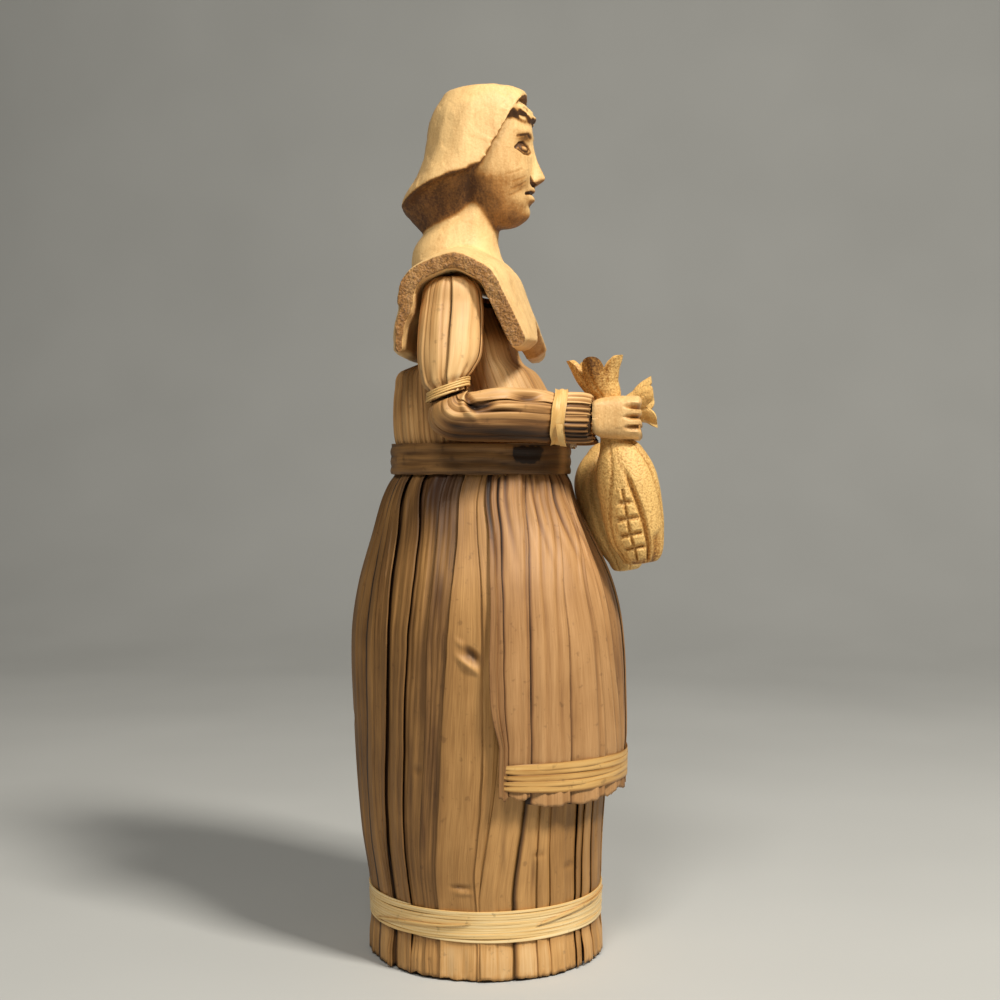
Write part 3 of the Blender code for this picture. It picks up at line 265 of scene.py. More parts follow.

# %% [markdown]
# ## The leaf finish
# One function makes every leaf finish, because they differ only in their colours. Each piece
# carries a point attribute called tone, from 0 for the darkest to 1 for the palest. Tone holds
# each leaf's own colour, and also painted shade in hollows, gaps and undersides and painted
# light on ridges and a few lit patches. Tone, streaks and bands together pick the colour from a
# ramp, so no two strips look the same. A second attribute adds the dark brown marks that old
# husk has, and a painted shadow below the belt.

# %% Leaf finishes


def leaf_finish(name, stops, shine=0.52, fineness=1.0, length=1.0, bump=0.12):
    """A husk or raffia finish whose colour ramp has the given stops."""
    material, tree, shader = new_material(name)
    fibre = add_node(tree, "ShaderNodeGroup", {"node_tree": fibre_group},
                     Fineness=fineness, Length=length)
    mottle = add_node(tree, "ShaderNodeGroup", {"node_tree": mottle_group}, Spot_size=1.0)
    tone = add_node(tree, "ShaderNodeAttribute", {"attribute_name": "tone"}).outputs["Fac"]
    # This attribute carries brown stains and also the painted shadow below the belt.
    stain = add_node(tree, "ShaderNodeAttribute", {"attribute_name": "stain"}).outputs["Fac"]
    streak = add_math(tree, "MULTIPLY", add_math(tree, "SUBTRACT", fibre.outputs["Streak"],
                                                 0.5), 0.24)
    band = add_math(tree, "MULTIPLY", add_math(tree, "SUBTRACT", fibre.outputs["Band"],
                                               0.5), 0.26)
    cloud = add_math(tree, "MULTIPLY", add_math(tree, "SUBTRACT", mottle.outputs["Clouds"],
                                                0.5), 0.25)
    level = add_math(tree, "ADD", add_math(tree, "ADD", tone, streak),
                     add_math(tree, "ADD", band, cloud), clamp=True)
    colour = add_ramp(tree, level, stops)
    specks = add_math(tree, "MULTIPLY", mottle.outputs["Spots"], 0.30)
    marks = add_math(tree, "MAXIMUM", add_math(tree, "MULTIPLY", stain, add_math(
        tree, "ADD", fibre.outputs["Band"], 0.45)), specks, clamp=True)
    mixed = add_node(tree, "ShaderNodeMix", {"data_type": "RGBA", "blend_type": "MIX"},
                     n0=marks, n6=colour, n7=linear(66, 38, 18))
    tree.links.new(mixed.outputs[2], shader.inputs["Base Color"])
    rough = add_node(tree, "ShaderNodeMapRange", Value=fibre.outputs["Streak"],
                     To_Min=shine - 0.10, To_Max=shine + 0.16)
    tree.links.new(rough.outputs[0], shader.inputs["Roughness"])
    dent = add_node(tree, "ShaderNodeBump", Height=fibre.outputs["Height"],
                    Strength=0.9, Distance=bump * MM)
    tree.links.new(dent.outputs[0], shader.inputs["Normal"])
    shader.inputs["Specular IOR Level"].default_value = 0.35
    return material


skirt_leaf = leaf_finish("skirt_husk", (
    (0.0, linear(38, 23, 11)), (0.25, linear(104, 72, 38)), (0.5, linear(160, 117, 66)),
    (0.75, linear(204, 156, 96)), (1.0, linear(232, 196, 144))))
apron_leaf = leaf_finish("apron_husk", (
    (0.0, linear(46, 28, 14)), (0.25, linear(120, 82, 48)), (0.5, linear(168, 124, 77)),
    (0.75, linear(202, 156, 105)), (1.0, linear(226, 191, 145))))
sleeve_leaf = leaf_finish("sleeve_husk", (
    (0.0, linear(44, 26, 12)), (0.25, linear(118, 80, 42)), (0.5, linear(184, 138, 84)),
    (0.75, linear(222, 180, 122)), (1.0, linear(244, 214, 164))), shine=0.48)
raffia = leaf_finish("raffia_strands", (
    (0.0, linear(92, 58, 22)), (0.28, linear(160, 112, 54)), (0.55, linear(214, 170, 102)),
    (0.78, linear(232, 196, 132)), (1.0, linear(246, 222, 170))), shine=0.42,
    fineness=1.6, bump=0.15)
# The straw's dark colour is partly painted shade for the gaps between the leaves.
straw = leaf_finish("packed_straw", (
    (0.0, linear(34, 20, 10)), (0.35, linear(70, 44, 20)), (0.7, linear(128, 90, 46)),
    (1.0, linear(176, 132, 78))), shine=0.7, fineness=0.5, bump=0.5)
print("leaf finishes:", skirt_leaf.name, apron_leaf.name, sleeve_leaf.name, raffia.name)

# %% [markdown]
# ## The carved wood finish
# The bust and the ears are pale lime wood, carved with a knife and oiled. The grain runs up and
# down, with soft brown lines. Where the grain is cut across, at the collar's ends, the surface
# is rough and dotted with dark pores, and a point attribute called sawn marks those places.

# %% Wood finishes


def wood_finish(name, pale, deep, pore, fuzz=0.0):
    """Knife-cut wood with upright grain, and rough end grain where sawn says so."""
    material, tree, shader = new_material(name)
    place = add_node(tree, "ShaderNodeTexCoord").outputs["Object"]
    tall = add_node(tree, "ShaderNodeMapping", Vector=place)
    tall.inputs["Scale"].default_value = (1.0, 1.0, 0.10)
    grain = add_node(tree, "ShaderNodeTexNoise", Vector=tall.outputs[0], Scale=900.0,
                     Detail=4.0).outputs[0]
    ring = add_node(tree, "ShaderNodeTexNoise", Vector=tall.outputs[0], Scale=160.0,
                    Detail=3.0).outputs[0]
    cuts = add_node(tree, "ShaderNodeTexNoise", Vector=place, Scale=260.0,
                    Detail=2.0).outputs[0]
    dots = add_node(tree, "ShaderNodeTexNoise", Vector=place, Scale=1500.0,
                    Detail=2.0).outputs[0]
    tone = add_node(tree, "ShaderNodeAttribute", {"attribute_name": "tone"}).outputs["Fac"]
    sawn = add_node(tree, "ShaderNodeAttribute", {"attribute_name": "sawn"}).outputs["Fac"]
    level = add_math(tree, "ADD", add_math(tree, "MULTIPLY", grain, 0.40),
                     add_math(tree, "MULTIPLY", ring, 0.60))
    level = add_math(tree, "MULTIPLY", add_math(tree, "SUBTRACT", level, 0.5), 0.6)
    level = add_math(tree, "ADD", level, add_math(
        tree, "MULTIPLY", add_math(tree, "SUBTRACT", dots, 0.5), fuzz))
    level = add_math(tree, "ADD", level, tone, clamp=True)
    colour = add_ramp(tree, level, ((0.0, pore), (0.30, deep), (0.70, pale),
                                    (1.0, tuple(min(part * 1.12, 1) for part in pale[:3])
                                     + (1.0,))))
    speck = add_node(tree, "ShaderNodeMapRange", Value=dots, From_Min=0.42, From_Max=0.66,
                     To_Min=0.22, To_Max=0.80)
    rough_mask = add_math(tree, "MULTIPLY", sawn, speck.outputs[0], clamp=True)
    mixed = add_node(tree, "ShaderNodeMix", {"data_type": "RGBA", "blend_type": "MIX"},
                     n0=rough_mask, n6=colour, n7=pore)
    tree.links.new(mixed.outputs[2], shader.inputs["Base Color"])
    rough = add_node(tree, "ShaderNodeMapRange", Value=grain, To_Min=0.44, To_Max=0.66)
    tree.links.new(rough.outputs[0], shader.inputs["Roughness"])
    height = add_math(tree, "ADD", add_math(tree, "MULTIPLY", cuts, 0.7),
                      add_math(tree, "MULTIPLY", grain, 0.3))
    height = add_math(tree, "ADD", height, add_math(
        tree, "MULTIPLY", add_math(tree, "MULTIPLY", dots, sawn), 1.4))
    height = add_math(tree, "ADD", height, add_math(tree, "MULTIPLY", dots, fuzz * 1.2))
    dent = add_node(tree, "ShaderNodeBump", Height=height, Strength=0.8, Distance=0.35 * MM)
    tree.links.new(dent.outputs[0], shader.inputs["Normal"])
    shader.inputs["Specular IOR Level"].default_value = 0.4
    return material


linden = wood_finish("carved_linden", linear(234, 194, 132), linear(176, 124, 64),
                     linear(84, 52, 22), 0.25)
ear_wood = wood_finish("carved_ear_wood", linear(226, 184, 112), linear(170, 120, 56),
                       linear(96, 60, 24), 1.0)

# %% Wire and floor finishes


def wire_finish():
    """Bare drawn steel with fine lines along it."""
    material, tree, shader = new_material("arm_wire_steel")
    place = add_node(tree, "ShaderNodeTexCoord").outputs["Object"]
    lines = add_node(tree, "ShaderNodeTexNoise", Vector=place, Scale=2200.0, Detail=2.0)
    colour = add_ramp(tree, lines.outputs[0], ((0.3, linear(58, 50, 42)),
                                               (0.7, linear(96, 86, 76))))
    tree.links.new(colour, shader.inputs["Base Color"])
    shader.inputs["Metallic"].default_value = 1.0
    shader.inputs["Roughness"].default_value = 0.5
    return material


def floor_finish():
    """A plain pale floor, painted matt, with the faintest unevenness."""
    material, tree, shader = new_material("floor_paint")
    place = add_node(tree, "ShaderNodeTexCoord").outputs["Object"]
    cloud = add_node(tree, "ShaderNodeTexNoise", Vector=place, Scale=6.0, Detail=2.0)
    colour = add_ramp(tree, cloud.outputs[0], ((0.3, linear(186, 187, 184)),
                                               (0.7, linear(192, 193, 190))))
    tree.links.new(colour, shader.inputs["Base Color"])
    shader.inputs["Roughness"].default_value = 0.8
    return material


wire_steel = wire_finish()
floor.data.materials.append(floor_finish())
print("finishes:", len(bpy.data.materials))

# %% [markdown]
# ## Helpers for shapes
# A husk leaf is a flat sheet that has been bent round the body. So a leaf starts as a flat grid
# and a small function moves each corner to its place from two shares, across and along the
# leaf. The grid gets its UV map in centimetres first, so the fibres follow every fold.

# %% Curves through tables, and gentle noise


def follow(rows, at, column=1):
    """Read a table at a place along its first column, on a smooth curve through its rows."""
    places = [row[0] for row in rows]
    if at <= places[0]:
        return rows[0][column]
    if at >= places[-1]:
        return rows[-1][column]
    here = bisect.bisect_right(places, at) - 1
    low, high = rows[here], rows[here + 1]
    before, after = rows[max(here - 1, 0)], rows[min(here + 2, len(rows) - 1)]
    span = high[0] - low[0]
    share = (at - low[0]) / span
    start = (high[column] - before[column]) / (high[0] - before[0]) * span
    end = (after[column] - low[column]) / (after[0] - low[0]) * span
    square, cube = share * share, share ** 3
    return ((2 * cube - 3 * square + 1) * low[column] + (cube - 2 * square + share) * start
            + (3 * square - 2 * cube) * high[column] + (cube - square) * end)


def ease(low, high, at):
    """Nought below low, one above high, and a soft step between."""
    share = min(max((at - low) / (high - low), 0.0), 1.0)
    return share * share * (3 - 2 * share)


def bump(at, middle, half_width):
    """A rounded hill of height one round the middle, nought beyond its half width."""
    away = abs(at - middle) / half_width
    return (1 - away * away) ** 2 if away < 1 else 0.0


def ripple(x, y, seed):
    """Smooth random height between about -1 and 1."""
    return noise.noise(Vector((x, y, seed * 7.31)))


# %% Leaves and finished pieces
def new_form():
    """An empty mesh under edit with the layers that the finishes read."""
    bm = bmesh.new()
    bm.loops.layers.uv.new("UVMap")
    for layer in ("tone", "stain", "sawn"):
        bm.verts.layers.float.new(layer)
    return bm


def bend_grid(bm, across, along, place, width, length, start=0.0):
    """Add a flat grid and move each corner by place(s, t), which gives point, tone, stain."""
    corners = bmesh.ops.create_grid(bm, x_segments=across, y_segments=along, size=0.5)["verts"]
    uv = bm.loops.layers.uv.active
    tone = bm.verts.layers.float["tone"]
    stain = bm.verts.layers.float["stain"]
    shares = {corner: (corner.co.x + 0.5, corner.co.y + 0.5) for corner in corners}
    for face in {face for corner in corners for face in corner.link_faces}:
        for loop in face.loops:
            s, t = shares[loop.vert]
            loop[uv].uv = (start + s * width / 10, t * length / 10)
    for corner, (s, t) in shares.items():
        point, shade, mark = place(s, t)
        corner.co = point * MM
        corner[tone] = shade
        corner[stain] = mark
    return corners


def finish_piece(name, bm, material, nodes, body="figure", wall=0.0, sharp=50):
    """Close the edit and put the piece on its body in place of its CAD nodes."""
    mesh = bpy.data.meshes.new(name)
    bm.to_mesh(mesh)
    bm.free()
    mesh.materials.append(material)
    mesh.shade_smooth()
    mesh.set_sharp_from_angle(angle=math.radians(sharp))
    piece = bpy.data.objects.new(name, mesh)
    bpy.context.scene.collection.objects.link(piece)
    if wall:
        skin = piece.modifiers.new("leaf thickness", "SOLIDIFY")
        skin.thickness = wall * MM
        skin.offset = -1
    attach(piece, body)
    if nodes:
        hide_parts(*nodes)
    return piece


# %% Reading the frame's leaf rings
def ring_rows(names):
    """Middle, half depth and half width of the CAD's leaf rings at each of their heights."""
    rings = {}
    for name in names:
        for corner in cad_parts[name].data.vertices:
            rings.setdefault(round(corner.co.z / MM, 1), []).append(corner.co / MM)
    rows = []
    for height, corners in sorted(rings.items()):
        front = min(corner.y for corner in corners)
        back = max(corner.y for corner in corners)
        wide = max(abs(corner.x) for corner in corners)
        rows.append((height, (front + back) / 2, (back - front) / 2, wide))
    return rows


def node_turns(name, middle, low, high):
    """The turns in degrees between which a CAD leaf lies, read between two heights."""
    turns = []
    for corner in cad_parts[name].data.vertices:
        if low * MM <= corner.co.z <= high * MM:
            x, y = corner.co.x / MM, corner.co.y / MM - middle
            turns.append(math.degrees(math.atan2(x, -y)))
    if max(turns) - min(turns) > 180:
        turns = [turn + 360 if turn < 0 else turn for turn in turns]
    return min(turns), max(turns)


skirt_names = [f"skirt_strip_{number:02d}" for number in range(1, 22)]
apron_names = [f"apron_strip_{number:02d}" for number in range(1, 11)]
bodice_names = [f"bodice_strip_{number:02d}" for number in range(1, 9)]
skirt_rows = ring_rows(skirt_names)
torso_rows = ring_rows(bodice_names)
print("skirt rings:", len(skirt_rows), "torso rings:", len(torso_rows))


# %% Surfaces that the leaves lie on
WAIST_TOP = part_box("belt")[1].z / MM
WAIST_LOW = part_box("belt")[0].z / MM
APRON_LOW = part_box("apron_strip_06")[0].z / MM
APRON_TURN = 78.0
skirt_rows = [row for row in skirt_rows if row[0] < WAIST_LOW] + [
    (WAIST_LOW + 1.5, 1.8, 27.0, 27.0), (WAIST_TOP, 1.8, 27.0, 27.0)]


def turned(reach_x, reach_y, middle, turn, height):
    """The point at a turn from the front on an oval round the doll's upright axis."""
    angle = math.radians(turn)
    return Vector((reach_x * math.sin(angle), middle - reach_y * math.cos(angle), height))


def skirt_point(turn, height, out):
    """A point on the skirt, or that far outside it."""
    reach = follow(skirt_rows, height, 2) + out
    return turned(reach, reach, follow(skirt_rows, height, 1), turn, height)


def apron_rows():
    """Height, reach in front and reach at the side of the apron's outer face."""
    rows = []
    for height, middle, deep, wide in ring_rows(apron_names):
        axis = follow(skirt_rows, height, 1)
        if height < WAIST_LOW:
            rows.append((height, axis - (middle - deep), wide / math.sin(
                math.radians(APRON_TURN))))
    rows += [(WAIST_LOW + 1.5, 27.4, 27.4), (WAIST_TOP, 27.4, 27.4)]
    return rows


apron_table = apron_rows()


def apron_point(turn, height, out):
    """A point on the apron, which stands off the skirt more in front than at its sides."""
    side = math.sin(math.radians(turn)) ** 2
    front_reach = follow(apron_table, height, 1)
    reach = front_reach + (follow(apron_table, height, 2) - front_reach) * side + out
    return turned(reach, reach, follow(skirt_rows, height, 1), turn, height)


def torso_point(turn, height, out):
    """A point on the bodice, which is drawn in towards the neck."""
    return turned(follow(torso_rows, height, 3) + out, follow(torso_rows, height, 2) + out,
                  follow(torso_rows, height, 1), turn, height)


print("apron rings:", len(apron_table))

# %% [markdown]
# ## The skirt
# The real skirt is about twenty long leaves, tied at the waist with their tips down. They lap
# over each other like tiles, some leave a dark gap, and each has ribs, creases and stains of
# its own. One leaf is one grid whose left and right edges wander as the photograph shows. The
# edges are tables of height and turn, and a leaf's relief is the sum of a crown, lifted or
# tucked edges, ribs and noise. Pleats gather it under the belt.

# %% A strip of leaf on any surface


def add_strip(bm, point, left, right, low, high, relief, columns, rows, seed, reach=40.0):
    """A leaf between two edges, as functions of height, and two ends, as functions of s."""
    middle = (low(0.5) + high(0.5)) / 2
    width = abs(right(middle) - left(middle)) * math.pi / 180 * reach
    length = high(0.5) - low(0.5)

    def place(s, t):
        height = low(s) + (high(s) - low(s)) * t
        turn = left(height) + (right(height) - left(height)) * s
        out, tone, stain = relief(s, height, turn)
        return point(turn, height, out), tone, stain

    return bend_grid(bm, columns, rows, place, width, length, start=seed * 3.7)


def edge_line(table, wander=0.0, seed=0.0):
    """An edge as a function of height, from a table of (height, turn), a little uneven."""
    def edge(height):
        base = follow(table, height) if len(table) > 1 else table[0][1]
        return base + wander * ripple(height / 23, 0.3, seed) + 0.3 * wander * ripple(
            height / 6, 4.1, seed)
    return edge


# %% Edges of the long leaves
# Each edge is rows of height and turn. The right side's come from the photograph, and the
# others from the frame.
SKIRT_EDGES = {
    1: ((0, -160), (80, -158), (119, -158), (153, -160)),
    2: ((25, -148), (51, -147), (81, -143), (100, -142), (119, -143), (137, -147), (153, -150)),
    3: ((27, -134), (53, -132), (83, -128.5), (101, -127), (119, -129), (138, -132),
        (153, -137)),
    4: ((29, -122), (54, -120.6), (83, -118.5), (102, -116.4), (138, -116.4), (153, -122)),
    5: ((30, -105), (55, -102), (84, -99), (102, -97), (120, -96), (138, -93), (153, -92)),
    6: ((31, -87), (56, -83), (85, -82.4), (120, -83), (138, -83), (153, -81)),
    7: ((25, -86), (40, -81.5), (59, -77.5), (85, -75), (150, -74)),
    8: ((25, -69.5), (43, -65), (54, -63.5), (100, -62), (150, -60)),
    9: ((23, -51), (51, -51), (150, -48)),
    10: ((20, -30), (49, -30), (150, -29)),
    11: ((19, -19), (48, -21), (150, -14)),
}
# Leaves that share a node with a narrower one beside it: the edge between the two
SPLIT_EDGES = {
    3: ((27, -136), (52, -138), (77, -136), (101, -134.5), (119, -136), (153, -143)),
    5: ((30, -113), (83, -107), (120, -105), (153, -104)),
    9: ((24, -58.4), (52, -57), (150, -55)),
    10: ((21, -35), (49, -35), (150, -36)),
    14: ((20, 33), (150, 34)),
    18: ((20, 112), (150, 110)),
    21: ((20, 175), (150, 173)),
}


def skirt_edge(number):
    """The edge to the left of a leaf, by the leaf's number less one."""
    if number in SKIRT_EDGES:
        return edge_line(SKIRT_EDGES[number], 0.6, number)
    if number == 0:
        return edge_line(((0, -174), (1, -174)), 0.0, 0)
    turns = node_turns(skirt_names[number - 1], 1.5, 70, 105)
    return edge_line(((0, turns[1]), (1, turns[1])), 1.6 if number < 21 else 0.0, number)


# %% Relief of the long leaves
HEM_MIDDLE = 17.0
BELT_HIDDEN = WAIST_LOW + 3.0
GAP_SHARE = 0.20
# Each leaf: lift of its left and right edge, tone, places of ribs across it
# Leaves 1 to 5, on the doll's right towards the back, have low tones: partly their own colour and
# partly painted shade.
SKIRT_LEAVES = {
    1: (0.3, -0.6, 0.36, (0.4,)), 2: (0.5, -0.9, 0.38, (0.3, 0.72)),
    3: (0.1, 0.5, 0.40, (0.5,)), 4: (-0.8, 0.5, 0.41, (0.35, 0.7)),
    5: (-0.5, -0.5, 0.40, (0.12, 0.3, 0.52, 0.78)), 6: (0.6, 0.2, 0.55, (0.86,)),
    7: (0.6, -0.6, 0.58, (0.5,)), 8: (0.5, -0.6, 0.60, (0.3, 0.75)),
    9: (0.2, -0.3, 0.62, (0.55,)), 10: (0.4, -0.5, 0.48, (0.4, 0.8)),
    11: (0.5, -0.4, 0.56, (0.5,)), 12: (0.3, -0.6, 0.50, (0.25, 0.6)),
    13: (0.5, -0.4, 0.58, (0.4, 0.7)), 14: (0.4, -0.5, 0.46, (0.3,)),
    15: (0.6, -0.6, 0.55, (0.5, 0.8)), 16: (0.2, -0.4, 0.60, (0.2, 0.6)),
    17: (0.5, -0.7, 0.48, (0.45,)), 18: (0.4, -0.3, 0.52, (0.3, 0.7)),
    19: (0.6, -0.5, 0.57, (0.5,)), 20: (0.3, -0.6, 0.45, (0.25, 0.65)),
    21: (0.5, -0.2, 0.52, (0.4, 0.75)),
}
# Creases and folds that the photograph shows: turn, height, half turn, half height, fall per
# degree, depth, tone
# The tone column paints shade into each crease and light onto each raised fold.
SKIRT_MARKS = (
    (-87.4, 99.6, 5.2, 2.6, 0.5, -1.3, -0.40), (-89.0, 96.6, 6.4, 1.9, 0.5, 1.2, 0.18),
    (-91.5, 102.6, 4.0, 1.8, 0.5, 0.5, 0.08), (-94.5, 28.7, 6.5, 1.0, 0, -0.7, -0.14),
    (-93.0, 26.9, 6.0, 1.0, 0, 0.4, 0.05), (-112.0, 64, 4.0, 2.0, 0, -0.5, -0.1),
    (-57.0, 38, 5.0, 1.2, 0, -0.5, -0.1), (-40.0, 33, 5.0, 1.4, 0, -0.6, -0.12),
    (150.0, 80, 6.0, 3.0, 0, -0.7, -0.12), (90.0, 60, 5.0, 2.0, 0, -0.6, -0.1),
    (35.0, 35, 5.0, 1.5, 0, -0.6, -0.1), (-165.0, 75, 5.0, 2.5, 0, -0.6, -0.1),
)
# Brown stains, the first of them a painted shadow below the belt and forearm: turn, height,
# half turn, half height, strength
SKIRT_STAINS_AND_SHADE = (
    (-108.0, 151, 20.0, 24, 1.00), (-102.0, 118, 3.6, 10, 0.75),
    (-108.0, 92, 3.0, 22, 0.5), (-116.0, 64, 2.2, 26, 0.55),
    (-110.0, 48, 2.0, 14, 0.6), (-103.5, 74, 1.8, 18, 0.45), (-128.0, 60, 2.0, 24, 0.4),
    (-147.0, 90, 2.5, 30, 0.35), (-74.0, 40, 1.6, 10, 0.35), (-60.0, 33, 2.0, 9, 0.5),
    (70.0, 90, 3.0, 24, 0.5), (132.0, 60, 3.0, 20, 0.45), (172.0, 100, 3.5, 20, 0.5),
)


def skirt_mark(turn, height):
    """Crease relief, painted shade and light at a place, and its brown stains and painted shadow.
    """
    out = tone = stain = 0.0
    for at, level, half_turn, half_height, fall, depth, shade in SKIRT_MARKS:
        share = bump(turn, at, half_turn) * bump(height, level - fall * (turn - at), half_height)
        out += depth * share
        tone += shade * share
    for at, level, half_turn, half_height, strength in SKIRT_STAINS_AND_SHADE:
        here = bump(turn, at, half_turn) * bump(height, level, half_height)
        stain = max(stain, here * strength)
    return out, tone, stain


def skirt_relief(number, part, lifts, tone, ribs):
    """How far a long leaf stands out at a place, and its tone and stain there."""
    seed = number + part * 0.37

    def relief(s, height, turn):
        gather = ease(112, 152, height)
        out = 0.40 * (4 * s * (1 - s)) - 0.25
        out += 1.6 * (lifts[0] * (1 - s) ** 4 + lifts[1] * s ** 4)
        shade = 0.0
        # Ribs: painted shade in each valley and a little painted light on each ridge.
        for index, place in enumerate(ribs):
            drift = place + 0.07 * ripple(height / 40, index, seed)
            ridge = bump(s, drift, 0.10)
            valley = bump(s, drift + 0.11, 0.08)
            strength = 0.50 + 0.50 * ripple(height / 30, index + 3, seed)
            out += (0.26 * ridge - 0.26 * valley) * strength
            shade += (0.03 * ridge - 0.08 * valley) * strength
        out += 0.24 * ripple(turn / 5.0, height / 40, seed)
        out += 0.05 * ripple(turn / 1.1, height / 60, seed + 20)
        out += 0.6 * gather * ripple(turn / 3.6, height / 70, seed + 40)
        # Painted shade in the gap beside a tucked edge.
        tucked = max(bump(s, 0, GAP_SHARE) * (lifts[0] < 0.3),
                     bump(s, 1, GAP_SHARE) * (lifts[1] < 0))
        shade -= 0.50 * tucked
        out -= 0.45 * bump(height, HEM_MIDDLE, 7.0)
        marks = skirt_mark(turn, height)
        out += marks[0]
        shade += marks[1] + 0.09 * ripple(turn / 6.0, height / 30, seed + 60)
        # Painted shade along the leaf's edges and just below the belt.
        shade -= 0.06 * (1 - 4 * s * (1 - s)) + 0.10 * ease(140, 153, height)
        foot = ease(11, 5, height)
        out += foot * (0.5 + 0.9 * ripple(seed * 1.7, part, 6) + 0.5 * ripple(turn / 4, 1, seed))
        # Below the hem the splayed ends are paler, partly their own colour and partly painted
        # light, less so at the cut.
        shade += 0.20 * ease(13, 9, height) * (1 - 0.8 * ease(2.4, 0.6, height))
        shade += 0.25 * ripple(turn / 1.6, height / 3, seed) * ease(3.5, 1.0, height)
        return out, tone + shade, marks[2]
    return relief


def skirt_ends(seed):
    """The floor end, cut unevenly, and the tied end of a long leaf."""
    def low(s):
        return 0.4 + 1.1 * abs(ripple(s * 3.0, 0.7, seed)) + 0.5 * abs(ripple(s * 11, 2, seed))

    def high(s):
        return BELT_HIDDEN
    return low, high


# %% Make the long leaves
LAP_TURN = 1.3
FOLDED_LEAF, FOLDED_ROWS = 6, 300


def shifted(edge, by):
    """The same edge, moved round by some degrees."""
    return lambda height: edge(height) + by


def make_skirt_leaf(number):
    """One long leaf of the skirt, or two where the node stands for a pair."""
    bm = new_form()
    left_lift, right_lift, tone, ribs = SKIRT_LEAVES[number]
    left, right = skirt_edge(number - 1), skirt_edge(number)
    if number in SPLIT_EDGES:
        middle = edge_line(SPLIT_EDGES[number], 0.5, number + 0.5)
        parts = ((left, shifted(middle, LAP_TURN), (left_lift, -0.5), tone + 0.03),
                 (middle, right, (0.55, right_lift), tone - 0.04))
    else:
        parts = ((left, right, (left_lift, right_lift), tone),)
    shown = number <= 12
    for part, (start, end, lifts, shade) in enumerate(parts):
        under_start = shifted(start, -LAP_TURN * (0.6 if lifts[0] < 0.3 else 0.2))
        under_end = shifted(end, LAP_TURN * (0.9 if lifts[1] < 0 else 0.2))
        span = abs(under_end(80) - under_start(80))
        low, high = skirt_ends(number + part * 0.4)
        relief = skirt_relief(number, part, lifts, shade, ribs)
        add_strip(bm, skirt_point, under_start, under_end, low, high, relief,
                  max(10, int(span * (1.9 if shown else 1.2))),
                  FOLDED_ROWS if number == FOLDED_LEAF else 150 if shown else 80,
                  number + part * 0.5)
    return finish_piece(f"skirt_leaf_{number:02d}", bm, skirt_leaf,
                        [skirt_names[number - 1]], wall=0.4)


for number in range(1, 22):
    piece = make_skirt_leaf(number)
print("long leaves: 21, last has", len(piece.data.vertices), "corners")

# %% [markdown]
# ## The imported core
# Between the leaves one sees packed straw, coloured dark brown partly as painted shade for the
# gaps, and its cut ends show underneath. It is one closed form just inside the leaves, with
# upright ridges like a bundle of stalks.

# %% Core of the skirt and of the bodice
CORE_IN = 1.5


def make_core(name, point, low, high, nodes, lean):
    """A closed bundle inside a surface, ridged like stalks."""
    bm = new_form()

    def place(s, t):
        turn = s * 360 - 180
        level = min(max((t * 1.08 - 0.04), 0), 1)
        height = low + (high - low) * level
        ridge = 0.45 * abs(ripple(turn / 3.2, height / 80, 3.3)) + 0.3 * abs(math.sin(
            turn * 0.35 + 1.5 * ripple(turn / 50, height / 90, 8)))
        inner = 1.0 if 0.001 < t < 0.999 else 0.0
        spot = point(turn, height, -CORE_IN - lean * ease(0.8, 1, t) - ridge)
        middle = point(0, height, 0).lerp(point(180, height, 0), 0.5)
        if not inner:
            spot = middle
        return spot, 0.25 + 0.3 * ripple(turn / 3, height / 50, 5), 0.0

    bend_grid(bm, 240, 60, place, 240, high - low)
    bmesh.ops.remove_doubles(bm, verts=bm.verts, dist=0.01 * MM)
    bmesh.ops.recalc_face_normals(bm, faces=bm.faces)
    return finish_piece(name, bm, straw, nodes)


make_core("packed_skirt_core", skirt_point, 0.1, WAIST_LOW + 4, ["skirt_core"], 0.0)
make_core("packed_torso_core", torso_point, WAIST_TOP - 2, 208.5, ["torso_core"], 0.4)
print("cores made")

# %% [markdown]
# ## The apron
# Shorter, paler leaves lie over the front of the skirt and lean away from it, so their cut
# ends throw a shadow. They are made like the long leaves, on a surface of their own.

# %% Edges and relief of the apron leaves
APRON_EDGES = {
    0: ((72, -77), (85, -80), (121, -80), (138, -78), (153, -78.6)),
    1: ((72, -73.5), (85, -75), (121, -75), (138, -72), (153, -72)),
    2: ((58, -65), (103, -65), (120, -64), (138, -58), (153, -55)),
    3: ((72, -48), (102, -48), (120, -47), (138, -38), (153, -35)),
    4: ((70, -29), (82, -30), (101, -32), (120, -33), (138, -23), (153, -24)),
    5: ((67, -14), (81, -17), (100, -21), (119, -21), (153, -14)),
}
APRON_LEAVES = (
    (0.2, 0.2, 0.44, (0.5,)), (-0.5, 0.5, 0.53, (0.8,)), (-0.9, 0.6, 0.60, (0.35, 0.7)),
    (-1.0, 0.6, 0.57, (0.75,)), (-0.9, 0.5, 0.60, (0.6,)), (-0.5, -0.4, 0.42, (0.4,)),
    (0.4, -0.4, 0.48, (0.3, 0.7)), (0.5, -0.5, 0.50, (0.5,)), (0.2, -0.3, 0.58, (0.3, 0.6)),
    (0.5, 0.2, 0.50, (0.4, 0.75)),
)
APRON_BAND = 62.6


def apron_edge(number):
    """The edge to the left of an apron leaf, by the leaf's number less one."""
    if number in APRON_EDGES:
        return edge_line(APRON_EDGES[number], 0.5, number + 30)
    turns = node_turns(apron_names[number - 1], 1.5, 70, 105)
    return edge_line(((0, turns[1]), (1, turns[1])), 1.2 if number < 10 else 0.3, number + 30)


